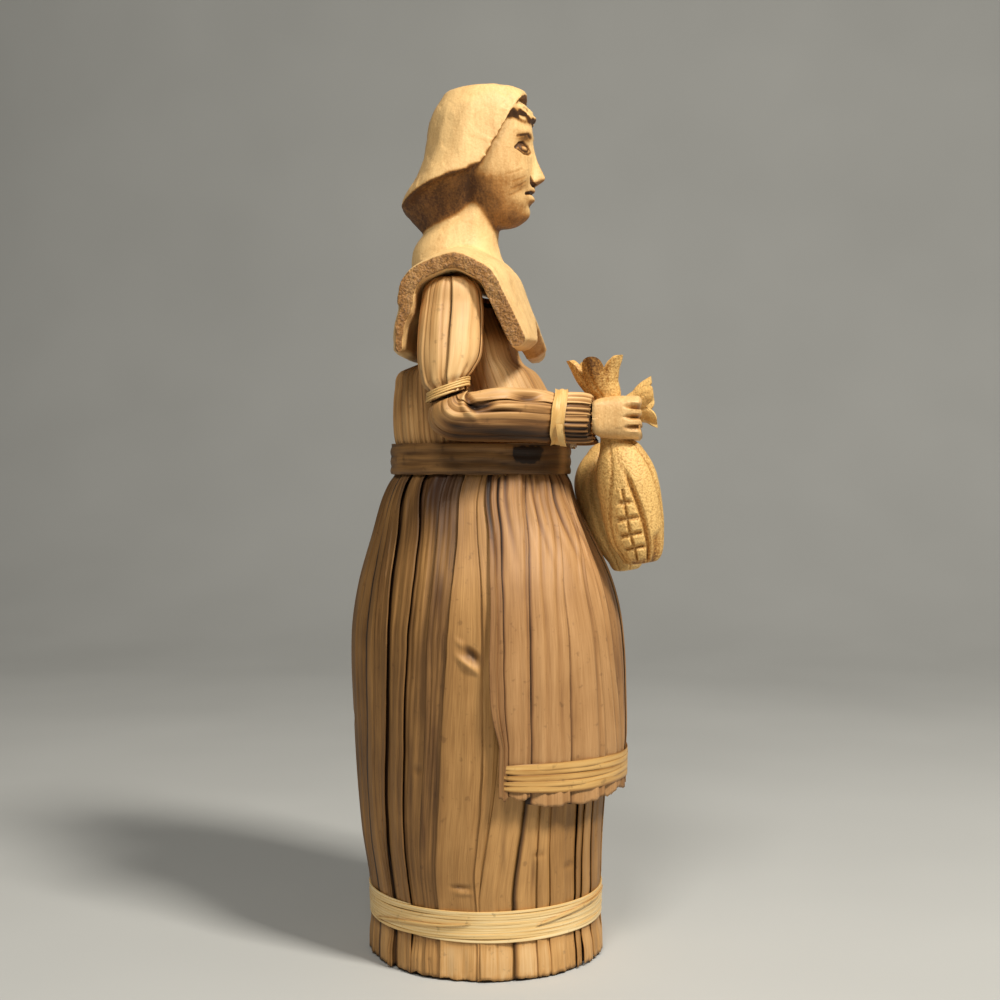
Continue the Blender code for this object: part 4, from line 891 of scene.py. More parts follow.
def apron_relief(number, lifts, tone, ribs):
    """How far an apron leaf stands out at a place, and its tone and stain there."""
    seed = number + 50

    def relief(s, height, turn):
        gather = ease(118, 153, height)
        low = ease(APRON_LOW + 9, APRON_LOW, height)
        out = 0.30 * (4 * s * (1 - s)) - 0.25
        out += 1.35 * (lifts[0] * (1 - s) ** 4 + lifts[1] * s ** 4)
        shade = 0.0
        # Ribs: painted shade in each valley and a little painted light on each ridge.
        for index, place in enumerate(ribs):
            drift = place + 0.08 * ripple(height / 40, index, seed)
            ridge = bump(s, drift, 0.12)
            valley = bump(s, drift + 0.13, 0.09)
            out += 0.28 * ridge - 0.30 * valley
            shade += 0.03 * ridge - 0.10 * valley
        out += 0.24 * ripple(turn / 4.5, height / 36, seed)
        out += 0.05 * ripple(turn / 1.2, height / 50, seed + 20)
        # Pleats under the belt, with painted shade in their hollows.
        pleat = ripple(turn / 3.4, height / 70, seed + 40)
        out += 0.8 * gather * pleat
        shade -= 0.8 * gather * max(-pleat, 0)
        # Painted shade in the gap beside a tucked edge.
        tucked = max(bump(s, 0, GAP_SHARE) * (lifts[0] < 0),
                     bump(s, 1, GAP_SHARE) * (lifts[1] < 0))
        shade -= 0.90 * tucked
        out += low * (0.5 * ripple(turn / 3.5, 1.3, seed + 9) + 0.3)
        out -= 0.25 * bump(height, APRON_BAND, 7.0)
        shade += 0.07 * ripple(turn / 6.0, height / 26, seed + 60)
        # Painted shade along the leaf's edges and just below the belt.
        shade -= 0.06 * (1 - 4 * s * (1 - s)) + 0.10 * ease(141, 153, height)
        return out, tone + shade, 0.0
    return relief


# %% Make the apron leaves
def make_apron_leaf(number):
    """One leaf of the apron, from under the belt to its scalloped end."""
    bm = new_form()
    left_lift, right_lift, tone, ribs = APRON_LEAVES[number - 1]
    left, right = apron_edge(number - 1), apron_edge(number)
    if left_lift < 0:
        left = shifted(left, -0.9)
    if right_lift < 0:
        right = shifted(right, 0.9)
    seed = number + 70

    def low(s):
        raised = 3.4 if number < 3 else 0.4
        return APRON_LOW + raised + 2.2 * abs(ripple(s * 1.7, 0.4, seed)) + 0.7 * abs(
            ripple(s * 7, 0.9, seed)) + 0.8 * (2 * s - 1) ** 2

    def high(s):
        return BELT_HIDDEN

    shown = number <= 7
    span = right(90) - left(90)
    add_strip(bm, apron_point, left, right, low, high,
              apron_relief(number, (left_lift, right_lift), tone, ribs),
              max(8, int(span * (1.9 if shown else 1.2))), 120 if shown else 70, seed)
    return finish_piece(f"apron_leaf_{number:02d}", bm, apron_leaf,
                        [apron_names[number - 1]], wall=0.4)


for number in range(1, 11):
    make_apron_leaf(number)
print("apron leaves: 10")

# %% [markdown]
# ## Belt and raffia
# The belt is one folded leaf round the waist, creased lengthwise, with a dark blotch. Raffia
# strands are flat and shiny, and each turn lies beside the last. A strand is a grid rolled into
# a flat tube along its route, and its ends shrink to a closed point.

# %% Belt
BELT_MIDDLE = 1.8
BELT_REACH = 29.4


def belt_point(turn, height, out):
    """A point on the belt's outside."""
    reach = BELT_REACH + out
    return turned(reach, reach, BELT_MIDDLE, turn, height)


def make_belt():
    """A folded leaf round the waist, with three lengthwise folds and short pleats."""
    bm = new_form()
    bulge = 0.9

    def place(s, t):
        turn = s * 360 - 180
        around = 2 * math.pi * t
        lift = math.cos(around)
        half = (WAIST_TOP - WAIST_LOW) / 2
        height = (WAIST_TOP + WAIST_LOW) / 2 - half * math.sin(around) * (
            1 - 0.06 * abs(ripple(turn / 9, 0.2, 4)))
        height += 0.25 * ripple(turn / 16, 1.5, 2)
        share = (height - WAIST_LOW) / (WAIST_TOP - WAIST_LOW)
        if lift > 0:
            out = -0.5 + 0.5 * lift ** 0.4
            fold = share * 3.1 + 0.5 * ripple(turn / 30, 0.5, 6)
            crease = abs(math.sin(math.pi * fold))
            out += 0.40 * crease - 0.22
            out += 0.14 * ripple(turn / 9, share * 3, 7)
        else:
            out = -1.3 * bulge
            crease = 1
        blotch = bump(turn, -53.5, 15) * bump(share, 0.63, 0.34)
        blotch = ease(0.10, 0.5, blotch + 0.25 * ripple(turn / 3, share * 3, 9))
        # Painted light on a patch of the belt in front, and painted shade in the bottom of each
        # fold.
        light = 0.22 * bump(turn, -20, 9)
        tone = 0.34 + light + 0.08 * ripple(turn / 16, share * 2, 11) - 0.20 * (1 - crease) ** 3
        # The blotch is the belt's own dark mark; the broad darkening at the doll's right front is
        # the forearm's painted shadow.
        tone -= 0.9 * blotch + 0.12 * bump(turn, -45, 28)
        return belt_point(turn, height, out), tone, 0.0

    bend_grid(bm, 360, 36, place, 180, 22)
    uv = bm.loops.layers.uv.active
    for face in bm.faces:
        for loop in face.loops:
            loop[uv].uv = (loop[uv].uv.y, loop[uv].uv.x)
    bmesh.ops.remove_doubles(bm, verts=bm.verts, dist=0.01 * MM)
    bmesh.ops.recalc_face_normals(bm, faces=bm.faces)
    return finish_piece("folded_belt", bm, skirt_leaf, ["belt"])


make_belt()


# %% Raffia strands
def add_strand(bm, point, route, turns, half_width, half_thick, rows, seed, tone=0.5):
    """A flat tube on a surface: route(t) gives turn, height and depth of its middle."""
    def place(s, t):
        turn, height, out = route(t)
        angle = 2 * math.pi * s
        taper = min(1, 24 * rows / 200 * t, 24 * rows / 200 * (1 - t)) ** 0.5
        wide = half_width * (1 + 0.30 * ripple(t * turns * 5, 0.5, seed)) * taper
        thick = half_thick * (1 + 0.25 * ripple(t * turns * 7, 3.5, seed)) * taper
        lap = 0.25 * thick * math.cos(2 * angle)
        # Painted shade along both edges of a strand, where it meets the next turn.
        shade = tone + 0.16 * ripple(t * turns * 2.2, 7, seed) - 0.34 * math.cos(angle) ** 4
        return (point(turn, height + wide * math.cos(angle),
                      out + thick * math.sin(angle) + lap), shade, 0.0)

    return bend_grid(bm, 10, rows, place, 2.2, turns * 240, start=seed)


def close_strands(name, bm, nodes, body="figure", material=None):
    """Merge the tubes' seams, turn their faces out and finish the winding."""
    bmesh.ops.remove_doubles(bm, verts=bm.verts, dist=0.004 * MM)
    bmesh.ops.recalc_face_normals(bm, faces=bm.faces)
    return finish_piece(name, bm, material or raffia, nodes, body=body)


HEM_LOW, HEM_HIGH = 12.4, 21.7
HEM_TURNS = 11


def make_hem_raffia():
    """Eleven turns of raffia round the skirt near the floor."""
    bm = new_form()

    def route(t):
        turn = t * HEM_TURNS * 360 - 120
        level = HEM_LOW + (HEM_HIGH - HEM_LOW) * t
        level += 0.35 * ripple(turn / 50, t * 20, 3)
        return turn, level, 0.42 + 0.16 * ripple(turn / 30, t * 30, 5)

    add_strand(bm, skirt_point, route, HEM_TURNS, 0.54, 0.42, 110 * HEM_TURNS, 2.0, 0.86)
    for index in range(3):
        start = (-150, -60, 40)[index]

        def loose(t, start=start, index=index):
            return (start + 60 * t, HEM_LOW + 1 + 3 * index + 5.0 * t
                    + 0.6 * math.sin(5 * t), 1.0 + 0.25 * math.sin(math.pi * t))

        add_strand(bm, skirt_point, loose, 0.2, 0.45, 0.22, 50, 5.0 + index, 0.70)
    return close_strands("hem_raffia", bm, ["hem_binding"])


make_hem_raffia()
print("hem winding made")

# %% Raffia round the apron
BAND_SLOPE = 2.4
BAND_TURNS = 5
BAND_BEHIND = -1.7


def make_apron_raffia():
    """Flat strands over the front of the apron and back behind it."""
    bm = new_form()
    low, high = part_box("apron_binding")
    bottom = low.z / MM + BAND_SLOPE + 0.5
    top = high.z / MM - 0.6
    end_turn = APRON_TURN - 0.8

    def level_at(index, turn):
        return bottom + (top - bottom) * index / BAND_TURNS - BAND_SLOPE * (
            1 - abs(turn) / end_turn)

    for index in range(BAND_TURNS):
        def front(t, index=index):
            turn = -end_turn + 2 * end_turn * t
            tuck = 1 - ease(0, 0.035, min(t, 1 - t))
            return (turn, level_at(index + t * 0.5, turn) + 0.7 * ripple(t * 6, index, 5),
                    0.42 + 0.25 * ripple(t * 9, index, 8) - 1.1 * tuck)

        def behind(t, index=index):
            turn = end_turn - 2 * end_turn * t
            return turn, level_at(index + 0.5 + t * 0.5, turn), BAND_BEHIND

        add_strand(bm, apron_point, front, 0.5, 1.15, 0.30, 130, 10.0 + index, 0.48)
        add_strand(bm, apron_point, behind, 0.5, 0.6, 0.26, 60, 20.0 + index, 0.45)
    return close_strands("apron_raffia", bm, ["apron_binding"])


make_apron_raffia()
print("apron winding made")

# %% [markdown]
# ## The bodice
# Leaves run up the body from the belt to under the collar, where they cross in a V below the
# neck. They lie flatter than the skirt, because they are drawn tight over the core.

# %% Make the bodice leaves
BODICE_LEAVES = (
    (0.3, -0.4, 0.50, (0.3, 0.6)), (0.2, -0.5, 0.44, (0.25, 0.5, 0.8)),
    (0.4, 0.3, 0.52, (0.4, 0.75)), (0.3, 0.4, 0.56, (0.3, 0.6)),
    (-0.4, 0.3, 0.50, (0.5,)), (0.3, -0.5, 0.46, (0.3, 0.7)), (0.4, -0.3, 0.52, (0.5,)),
    (0.3, 0.2, 0.48, (0.3, 0.6)),
)
BODICE_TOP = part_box("bodice_strip_04")[1].z / MM + 1.5


def body_relief(seed, lifts, tone, ribs, narrow):
    """Relief of a tight leaf: narrow is how many degrees one wrinkle takes."""
    def relief(s, height, turn):
        out = 0.25 * (4 * s * (1 - s)) - 0.2
        out += lifts[0] * (1 - s) ** 4 + lifts[1] * s ** 4
        shade = 0.0
        # Ribs: painted shade in each valley and a little painted light on each ridge.
        for index, place in enumerate(ribs):
            drift = place + 0.06 * ripple(height / 16, index, seed)
            ridge = bump(s, drift, 0.10)
            valley = bump(s, drift + 0.11, 0.08)
            out += 0.24 * ridge - 0.28 * valley
            shade += 0.03 * ridge - 0.10 * valley
        out += 0.20 * ripple(turn / narrow / 1.6, height / 26, seed)
        out += 0.05 * ripple(turn / narrow * 2.5, height / 30, seed + 20)
        shade += 0.10 * ripple(turn / narrow / 1.6, height / 16, seed + 60)
        # Painted shade along the edges and under the collar, and painted light on the front
        # leaves below it.
        shade -= 0.08 * (1 - 4 * s * (1 - s))
        shade -= 0.34 * ease(BODICE_TOP - 13, BODICE_TOP, height)
        shade += 0.30 * bump(turn, -52, 30) * ease(BODICE_TOP - 6, BODICE_TOP - 20, height)
        return out, tone + shade, 0.0
    return relief


def make_bodice_leaf(number):
    """One leaf of the bodice between belt and collar."""
    bm = new_form()
    tone, ribs = BODICE_LEAVES[number - 1][2:]
    low_turn, high_turn = node_turns(bodice_names[number - 1], 3.0, 165, 175)
    halves = 3
    for part in range(halves):
        start = low_turn + (high_turn - low_turn) * part / halves - 1.0
        end = low_turn + (high_turn - low_turn) * (part + 1) / halves + 1.5
        seed = number * 3 + part
        left = edge_line(((0, start), (1, start)), 0.8, seed)
        right = edge_line(((0, end), (1, end)), 0.8, seed + 0.5)
        lift = 0.35 if (number + part) % 2 else -0.3
        add_strip(bm, torso_point, left, right, lambda s: WAIST_LOW + 6, lambda s: BODICE_TOP,
                  body_relief(seed, (lift, -lift), tone + 0.05 * ripple(seed, 1, 3), ribs[:2],
                              5.0), 22, 60, seed, reach=27.0)
    return finish_piece(f"bodice_leaf_{number:02d}", bm, sleeve_leaf,
                        [bodice_names[number - 1]], wall=0.35)


for number in range(1, 9):
    make_bodice_leaf(number)
print("bodice leaves: 8")

# %% [markdown]
# ## The sleeves
# An upper sleeve is a puff of leaves, tied in at the elbow, and a second bunch runs along the
# forearm to a pleated cuff. Each limb is a row of tilted ovals, given by a front or upper edge
# and a back or lower edge in the doll's side view. Leaves are then laid on it lengthwise, with
# a dark lining below, a sheet of painted shade that shows in the gaps between them.

# %% Shape of the limbs
SIDES = ((-1, "right"), (1, "left"))
AXIS_Y = 7.4
# Share down the sleeve, front edge (y, z), back edge (y, z), middle x, half width
UPPER_SLEEVE = (
    (0.00, 4.6, 215.0, 10.2, 215.0, 29.0, 2.2), (0.03, 2.6, 214.6, 12.2, 214.6, 29.0, 4.4),
    (0.08, -0.8, 211.8, 15.5, 211.8, 29.0, 6.6), (0.18, -2.1, 205.9, 16.8, 205.9, 29.5, 7.5),
    (0.36, -2.5, 198.1, 17.3, 198.1, 32.0, 8.2), (0.58, -2.2, 190.0, 17.1, 188.9, 34.6, 8.4),
    (0.76, 0.0, 185.2, 15.4, 181.2, 36.6, 7.2), (0.88, 1.3, 183.0, 13.5, 178.6, 37.3, 6.0),
    (1.00, 1.3, 179.2, 13.5, 174.8, 38.0, 6.0),
)
# Share along the forearm, upper edge (y, z), lower edge (y, z), middle x, half width
FOREARM = (
    (0.00, 2.6, 177.6, 10.4, 175.4, 38.0, 4.0), (0.02, 1.2, 178.6, 13.0, 173.6, 38.0, 6.4),
    (0.06, 0.5, 178.6, 12.6, 168.4, 38.0, 7.6), (0.12, 0.0, 178.7, 7.5, 164.6, 37.8, 8.1),
    (0.24, -3.0, 179.2, -3.0, 163.7, 36.6, 8.4), (0.40, -9.9, 180.1, -9.9, 163.6, 34.5, 8.4),
    (0.56, -17.0, 180.1, -17.0, 163.5, 30.4, 8.2), (0.68, -22.0, 179.6, -22.0, 163.4, 27.3, 7.9),
    (0.74, -25.3, 179.0, -25.3, 163.8, 25.2, 7.5), (0.82, -28.6, 179.1, -28.6, 163.6, 23.2, 7.6),
    (0.92, -33.0, 178.9, -33.0, 163.7, 20.0, 7.4), (1.00, -36.3, 178.0, -36.3, 164.4, 17.5, 6.8),
)


def limb_point(table, side):
    """A surface function for a limb: turn round it, share along it, distance out."""
    def point(turn, share, out):
        front = Vector((follow(table, share, 1), follow(table, share, 2)))
        back = Vector((follow(table, share, 3), follow(table, share, 4)))
        middle, half = (front + back) / 2, (front - back) / 2
        reach = half.length
        half *= (reach + out) / reach
        angle = math.radians(turn)
        place = middle + half * math.cos(angle)
        wide = follow(table, share, 6) + out
        return Vector((side * follow(table, share, 5) + wide * math.sin(angle),
                       place.x, place.y))
    return point


# Tone of the lining, as dark as the shade between the leaves.
GAP_SHADE_TONE = 0.06


def add_shade_lining(bm, point, low, high, inset):
    """A closed dark form inside a limb's leaves, painted shade for the gaps between them."""
    def place(s, t):
        share = high + (low - high) * min(max(t * 1.1 - 0.05, 0), 1)
        if t < 0.001 or t > 0.999:
            return (point(0, share, 0) + point(180, share, 0)) / 2, GAP_SHADE_TONE, 0.0
        return point(s * 360, share, -inset), GAP_SHADE_TONE, 0.0

    bend_grid(bm, 40, 40, place, 50, 40)


def add_limb_leaf(bm, point, turns, shares, lifts, tone, ribs, seed, length, extra,
                  columns=26, rows=70, ragged=0.0):
    """A leaf along a limb between two turns, from shares[0] up to shares[1]."""
    def left(share):
        return turns[0] + 2.2 * ripple(share * 2.4, 0.3, seed)

    def right(share):
        return turns[1] + 2.2 * ripple(share * 2.4, 0.3, seed + 5)

    def relief(s, share, turn):
        along = share * length
        out = 0.35 * (4 * s * (1 - s)) - 0.25
        out += lifts[0] * (1 - s) ** 3 + lifts[1] * s ** 3
        shade = 0.0
        # Ribs: painted shade in each valley and a little painted light on each ridge.
        for index, place in enumerate(ribs):
            drift = place + 0.06 * ripple(along / 14, index, seed)
            ridge, valley = bump(s, drift, 0.12), bump(s, drift + 0.14, 0.10)
            out += 0.12 * ridge - 0.16 * valley
            shade += 0.03 * ridge - 0.10 * valley
        out += 0.26 * ripple(turn / 24, along / 18, seed) + 0.04 * ripple(
            turn / 6, along / 30, seed + 9)
        # Random mottling, and painted shade along the leaf's edges.
        shade += 0.09 * ripple(turn / 22, along / 12, seed + 30) - 0.06 * (1 - 4 * s * (1 - s))
        more_out, more_shade = extra(turn, share)
        return out + more_out, tone + (shade + more_shade)

    def place(s, t):
        tear = ragged * (0.5 + 0.5 * ripple(s * 9, 0.7, seed + 60)) + 0.4 * ragged * ripple(
            s * 30, 1.7, seed + 70)
        share = shares[0] - tear + (shares[1] - shares[0] + tear) * t
        turn = left(share) + (right(share) - left(share)) * s
        out, shade = relief(s, share, turn)
        return point(turn, share, out), shade, 0.0

    bend_grid(bm, columns, rows, place, abs(turns[1] - turns[0]) * 0.15, length,
              start=seed * 2.3)


def mirrored(side, turns, lifts):
    """A right sleeve's turns and lifts, or the same on the left sleeve."""
    if side < 0:
        return turns, lifts
    return (-turns[1], -turns[0]), (lifts[1], lifts[0])


def wrapped(turn):
    """The same turn between -180 and 180 degrees."""
    return (turn + 180) % 360 - 180


def elbow_pleats(turn, share):
    """Small pleats where a sleeve is drawn in."""
    draw = ease(0.62, 0.86, share)
    fold = math.cos(math.radians(turn) * 13 + 2 * ripple(turn / 50, 1, 4))
    out = draw * 0.28 * fold - 0.5 * bump(share, 0.92, 0.10)
    # Painted light on the pleats' ridges and painted shade in their hollows, and painted shade at
    # the sleeve's top under the collar.
    return out, draw * (0.10 * fold - 0.05) - 0.10 * ease(0.12, 0.0, share)


# %% Make the upper sleeves
# Leaves of the right sleeve as turns round it, lifts and tone. The left sleeve mirrors them.
UPPER_LEAVES = (
    ((-84, -8), (0.45, -0.3), 0.70, (0.42,)), ((-122, -84), (0.2, -1.1), 0.64, (0.45,)),
    ((-156, -121), (0.2, 0.2), 0.62, (0.5,)), ((-190, -153), (0.2, -0.2), 0.54, (0.5,)),
    ((-232, -183), (0.3, -0.3), 0.48, (0.3, 0.7)), ((-282, -228), (0.3, -0.3), 0.46, (0.5,)),
    ((-330, -278), (0.2, -0.3), 0.48, (0.35, 0.7)), ((-369, -326), (0.2, 0.1), 0.56, (0.5,)),
)
UPPER_LONG = 38


def make_upper_sleeve(side, word):
    """The puffed upper sleeve of one arm."""
    bm = new_form()
    point = limb_point(UPPER_SLEEVE, side)
    add_shade_lining(bm, point, 0.02, 0.99, 1.5)
    for number, (turns, lifts, tone, ribs) in enumerate(UPPER_LEAVES):
        turns, lifts = mirrored(side, turns, lifts)
        if side > 0:
            ribs = tuple(1 - rib for rib in ribs)
        add_limb_leaf(bm, point, turns, (0.985, 0.04), lifts, tone, ribs, number + 3 * side + 9,
                      UPPER_LONG, elbow_pleats)
    return finish_piece(f"{word}_puffed_sleeve", bm, sleeve_leaf,
                        [f"{word}_upper_sleeve"], body="arms", wall=0.35)


# %% Make the forearm sleeves
# Folds near the elbow and along the top: turn, share, half turn, half share, depth, tone, which
# paints shade into a hollow and light onto a ridge
FOREARM_FOLDS = (
    (-68, 0.24, 17, 0.13, -1.8, -0.55), (-96, 0.10, 13, 0.09, 0.9, 0.16),
    (-50, 0.55, 15, 0.13, -1.7, -0.52), (-76, 0.44, 9, 0.16, 0.7, 0.14),
    (-84, 0.36, 6, 0.20, -0.5, -0.30), (-64, 0.42, 5, 0.12, 0.5, 0.12),
    (-30, 0.34, 14, 0.22, 0.6, 0.08), (-118, 0.12, 12, 0.08, -0.6, -0.14),
    (-36, 0.60, 7, 0.16, 0.4, 0.08),
)
FOREARM_LEAVES = (
    ((-58, 12), (0.45, -0.3), 0.58, (0.45,)), ((-90, -54), (-0.6, -0.7), 0.40, (0.5,)),
    ((-150, -86), (-0.2, 0.65), 0.54, (0.6,)), ((-190, -146), (0.2, 0.1), 0.50, ()),
    ((-228, -172), (0.3, -0.3), 0.44, (0.3, 0.7)), ((-290, -224), (0.2, -0.3), 0.46, (0.5,)),
    ((-352, -286), (0.2, -0.3), 0.52, (0.3, 0.6)),
)
CUFF_PLEATS = 26
CUFF_RAGGED = 0.034
FOREARM_LONG = 48
FOLD_START = -22
FOLD_LEAN = 7.0
SHADED_UNDERSIDE_TURN = -138


def forearm_extra(side):
    """Hollows, gathered wrist and pleated cuff of a forearm sleeve, with painted shade and light.
    """
    def extra(turn, share):
        out = shade = 0.0
        facing = turn if side < 0 else -turn
        for at, level, half_turn, half_share, depth, dark in FOREARM_FOLDS:
            here = bump(wrapped(facing - at), 0, half_turn) * bump(share, level, half_share)
            out += depth * here
            shade += dark * here
        along = share * FOREARM_LONG
        away = wrapped(facing - (FOLD_START - FOLD_LEAN * along))
        held = ease(0.2, 1.5, along) * ease(12.5, 8.5, along)
        out += held * (1.1 * bump(away, 0, 15) - 1.2 * bump(away, 24, 16))
        # Painted light on the held fold's ridge and painted shade in the hollow beside it.
        shade += held * (0.20 * bump(away, 0, 12) - 0.40 * bump(away, 22, 17))
        cuff = ease(0.66, 0.80, share)
        fold = math.cos(math.radians(turn) * CUFF_PLEATS + 3.4 * ripple(turn / 26, 2, 6))
        flare = ease(0.84, 1.0, share)
        uneven = 1 + 0.6 * ripple(turn / 17, 3, 6)
        out += cuff * (0.24 + 0.22 * flare) * fold * uneven - 0.35 * bump(share, 0.75, 0.09)
        # Painted light on the cuff's pleats and shade between them, and painted shade at the
        # elbow end.
        shade += cuff * 0.20 * fold - 0.08 * ease(0.10, 0.0, share)
        # Painted shade on the forearm's underside.
        shade -= 0.50 * bump(wrapped(facing - SHADED_UNDERSIDE_TURN), 0, 56) * ease(0.02, 0.16, share)
        return out, shade
    return extra


def make_forearm_sleeve(side, word):
    """The sleeve along one forearm, from the elbow to a ragged cuff."""
    bm = new_form()
    point = limb_point(FOREARM, side)
    add_shade_lining(bm, point, 0.01, 0.965, 2.6)
    extra = forearm_extra(side)
    for number, (turns, lifts, tone, ribs) in enumerate(FOREARM_LEAVES):
        turns, lifts = mirrored(side, turns, lifts)
        add_limb_leaf(bm, point, turns, (0.997 - 0.012 * (number % 3), 0.005), lifts, tone,
                      ribs, number + 3 * side + 29, FOREARM_LONG, extra, columns=40, rows=90,
                      ragged=CUFF_RAGGED)
    return finish_piece(f"{word}_gathered_sleeve", bm, sleeve_leaf,
                        [f"{word}_forearm_sleeve"], body="arms", wall=0.35)


# %% Make the elbow raffia and the wrist strips
ELBOW_TURNS = 4
# Half width of a raffia strand in hundredths of the sleeve's length
ELBOW_WIDE = 8.2 * 0.135


def make_elbow_raffia(side, word):
    """Four turns of raffia where the upper sleeve is drawn in."""
    bm = new_form()
    point = limb_point(UPPER_SLEEVE, side)

    def place(s, t):
        turn = t * ELBOW_TURNS * 360 - 60
        share = 88.0 + 9.5 * t + 0.6 * ripple(turn / 60, 2, 9)
        out = 0.52 + 0.14 * ripple(turn / 40, t * 10, 5)
        angle = 2 * math.pi * s
        taper = min(1, 60 * t, 60 * (1 - t)) ** 0.5
        wide = ELBOW_WIDE * (1 + 0.25 * ripple(t * 20, 0.5, 3)) * taper
        thick = 0.28 * taper
        shade = 0.66 + 0.12 * ripple(t * 9, 7, 3) + 0.05 * math.cos(angle)
        return (point(turn, (share + wide * math.cos(angle)) / 100,
                      out + thick * math.sin(angle)), shade, 0.0)

    bend_grid(bm, 10, 60 * ELBOW_TURNS, place, 1.6, ELBOW_TURNS * 40)
    return close_strands(f"{word}_elbow_raffia", bm, [f"{word}_elbow_binding"], body="arms")


def make_wrist_strip(side, word):
    """A flat strip round the cuff, with its end laid over and tucked."""
    bm = new_form()
    point = limb_point(FOREARM, side)
    facing = 90 * side

    def place(s, t):
        turn = s * 360 - 180
        around = 2 * math.pi * t
        outer = math.cos(around) > 0
        share = 0.757 + 0.043 * math.sin(around) * (1 + 0.12 * ripple(turn / 40, 1, 5))
        share += 0.008 * ripple(turn / 30, 4, 2) + 0.012 * math.sin(math.radians(turn - facing))
        fold = 0.20 * math.cos(math.sin(around) * 5)
        out = (0.95 + fold if outer else 0.30) + 0.15 * ripple(turn / 18, t * 3, 7)
        # The strip is darker in the hollows of its folds: painted shade.
        return (point(turn, share, out),
                0.62 + 0.10 * ripple(turn / 20, t * 4, 4) - (0.08 if fold < 0 else 0), 0.0)

    bend_grid(bm, 120, 28, place, 8, 50)
    uv = bm.loops.layers.uv.active
    for face in bm.faces:
        for loop in face.loops:
            loop[uv].uv = (loop[uv].uv.y * 0.2, loop[uv].uv.x * 6)

    def tail(s, t):
        share = 0.735 + 0.045 * s + 0.02 * t
        turn = facing + (1 if side < 0 else -1) * (-16 - 62 * t)
        return point(turn, share, 1.35 + 0.5 * math.sin(3 * t)), 0.58 + 0.1 * s, 0.0

    corners = bend_grid(bm, 6, 24, tail, 3, 12)
    bmesh.ops.solidify(bm, geom=list({face for corner in corners for face in corner.link_faces}),
                       thickness=0.25 * MM)
    bmesh.ops.remove_doubles(bm, verts=bm.verts, dist=0.004 * MM)
    bmesh.ops.recalc_face_normals(bm, faces=bm.faces)
    return finish_piece(f"{word}_wrist_strip", bm, raffia,
                        [f"{word}_wrist_binding"], body="arms")


for side, word in SIDES:
    make_upper_sleeve(side, word)
    make_forearm_sleeve(side, word)
    make_elbow_raffia(side, word)
    make_wrist_strip(side, word)
print("sleeves, elbow raffia and wrist strips made")

# %% [markdown]
# ## Carving with functions
# A carver leaves small flat cuts all over. Here each corner of a fine mesh belongs to the
# nearest of many scattered centres, and each centre tilts its patch a little. That gives the
# crisp borders between knife cuts, which a smooth noise would not.

# %% Knife cuts


def knife_cut(point, size, depth):
    """Height of small flat cuts at a point: size across each cut and depth in millimetres."""
    centre = noise.voronoi(point / size, distance_metric="DISTANCE")[1][0]
    tilt = noise.cell_vector(centre * 9.7) * 2 - Vector((1, 1, 1))
    return depth * (point / size - centre).dot(tilt) + 0.3 * depth * tilt.x


def wood_form(name, bm, material, nodes, body, sharp=38):
    """Merge a carved form's seams and poles, turn it out and finish it."""
    bmesh.ops.remove_doubles(bm, verts=bm.verts, dist=0.006 * MM)
    bmesh.ops.recalc_face_normals(bm, faces=bm.faces)
    return finish_piece(name, bm, material, nodes, body=body, sharp=sharp)


# %% Hands
HAND_LONG = 13.4
FINGERS = 4
HAND_SQUARE = 3.4
# Share along, half width, half height, middle x
HAND_ROWS = ((0.0, 4.6, 4.8, 16.4), (0.08, 5.6, 5.6, 15.6), (0.25, 6.3, 6.4, 13.9),
             (0.5, 6.9, 6.8, 12.7), (0.8, 7.1, 6.9, 12.3), (0.94, 6.8, 6.8, 12.3),
             (1.0, 5.6, 5.9, 12.3))


def make_hand(side, word):
    """A carved fist round the ear's neck: a squared block with four finger ridges."""
    low, high = (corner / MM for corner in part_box(f"{word}_hand"))
    middle_z = (low.z + high.z) / 2
    half_z = (high.z - low.z) / 2
    bm = new_form()

    def place(s, t):
        share = min(max(t * 1.06 - 0.03, 0), 1)
        closed = 0.0 if t < 0.001 or t > 0.999 else 1.0
        angle = 2 * math.pi * s
        sine, cosine = math.sin(angle), math.cos(angle)
        reach = (abs(sine) ** HAND_SQUARE + abs(cosine) ** HAND_SQUARE) ** (-1 / HAND_SQUARE)
        square_x, square_z = reach * sine, reach * cosine
        wide, tall = follow(HAND_ROWS, share, 1) * closed, follow(HAND_ROWS, share, 2) * closed
        spot = Vector((side * follow(HAND_ROWS, share, 3) + wide * square_x,
                       high.y + 1.0 - share * (high.y + 1.0 - low.y), middle_z + tall * square_z))
        level = (spot.z - middle_z + half_z) / (2 * half_z) * FINGERS
        away = abs(level - round(level))
        groove = bump(away, 0, 0.36) if 0.4 < level < FINGERS - 0.4 else 0
        front = ease(0.58 + 0.14 * away * 2, 0.90, share)
        knuckle = 0.5 * bump(share, 0.60, 0.10)
        push = -1.7 * groove * front + knuckle * front * (1 - groove)
        push += knife_cut(spot, 4.6, 0.10)
        normal = Vector((square_x, 0.0, square_z)).normalized() if closed else Vector()
        spot += normal * push
        if share > 0.93:
            spot.y -= 0.6 * (1 - groove) * closed - 0.5 * groove
        # The finger grooves are darker: painted shade.
        return spot, 0.54 - 0.44 * groove * front, 0.0

    bend_grid(bm, 140, 90, place, 40, HAND_LONG)
    return wood_form(f"{word}_carved_hand", bm, linden, [f"{word}_hand"], "arms")


for side, word in SIDES:
    make_hand(side, word)
print("hands carved")

# %% [markdown]
# ## The ears of corn
# Each ear is carved from one block: a fat spindle with the husk pulled open to show two
# columns of kernels, a thin neck where the fist holds it, and a crown of husk tips above. The
# surface runs from the tip up to the crown's rim and then down into its hollow, so that it
# closes. Kernels, grooves and petals are heights on that surface.

# %% Ears of corn
GRIP_SPREAD = 10.3
GRIP_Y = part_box("right_hand")[1].y / MM - 3.75
GRIP_Z = 171.5
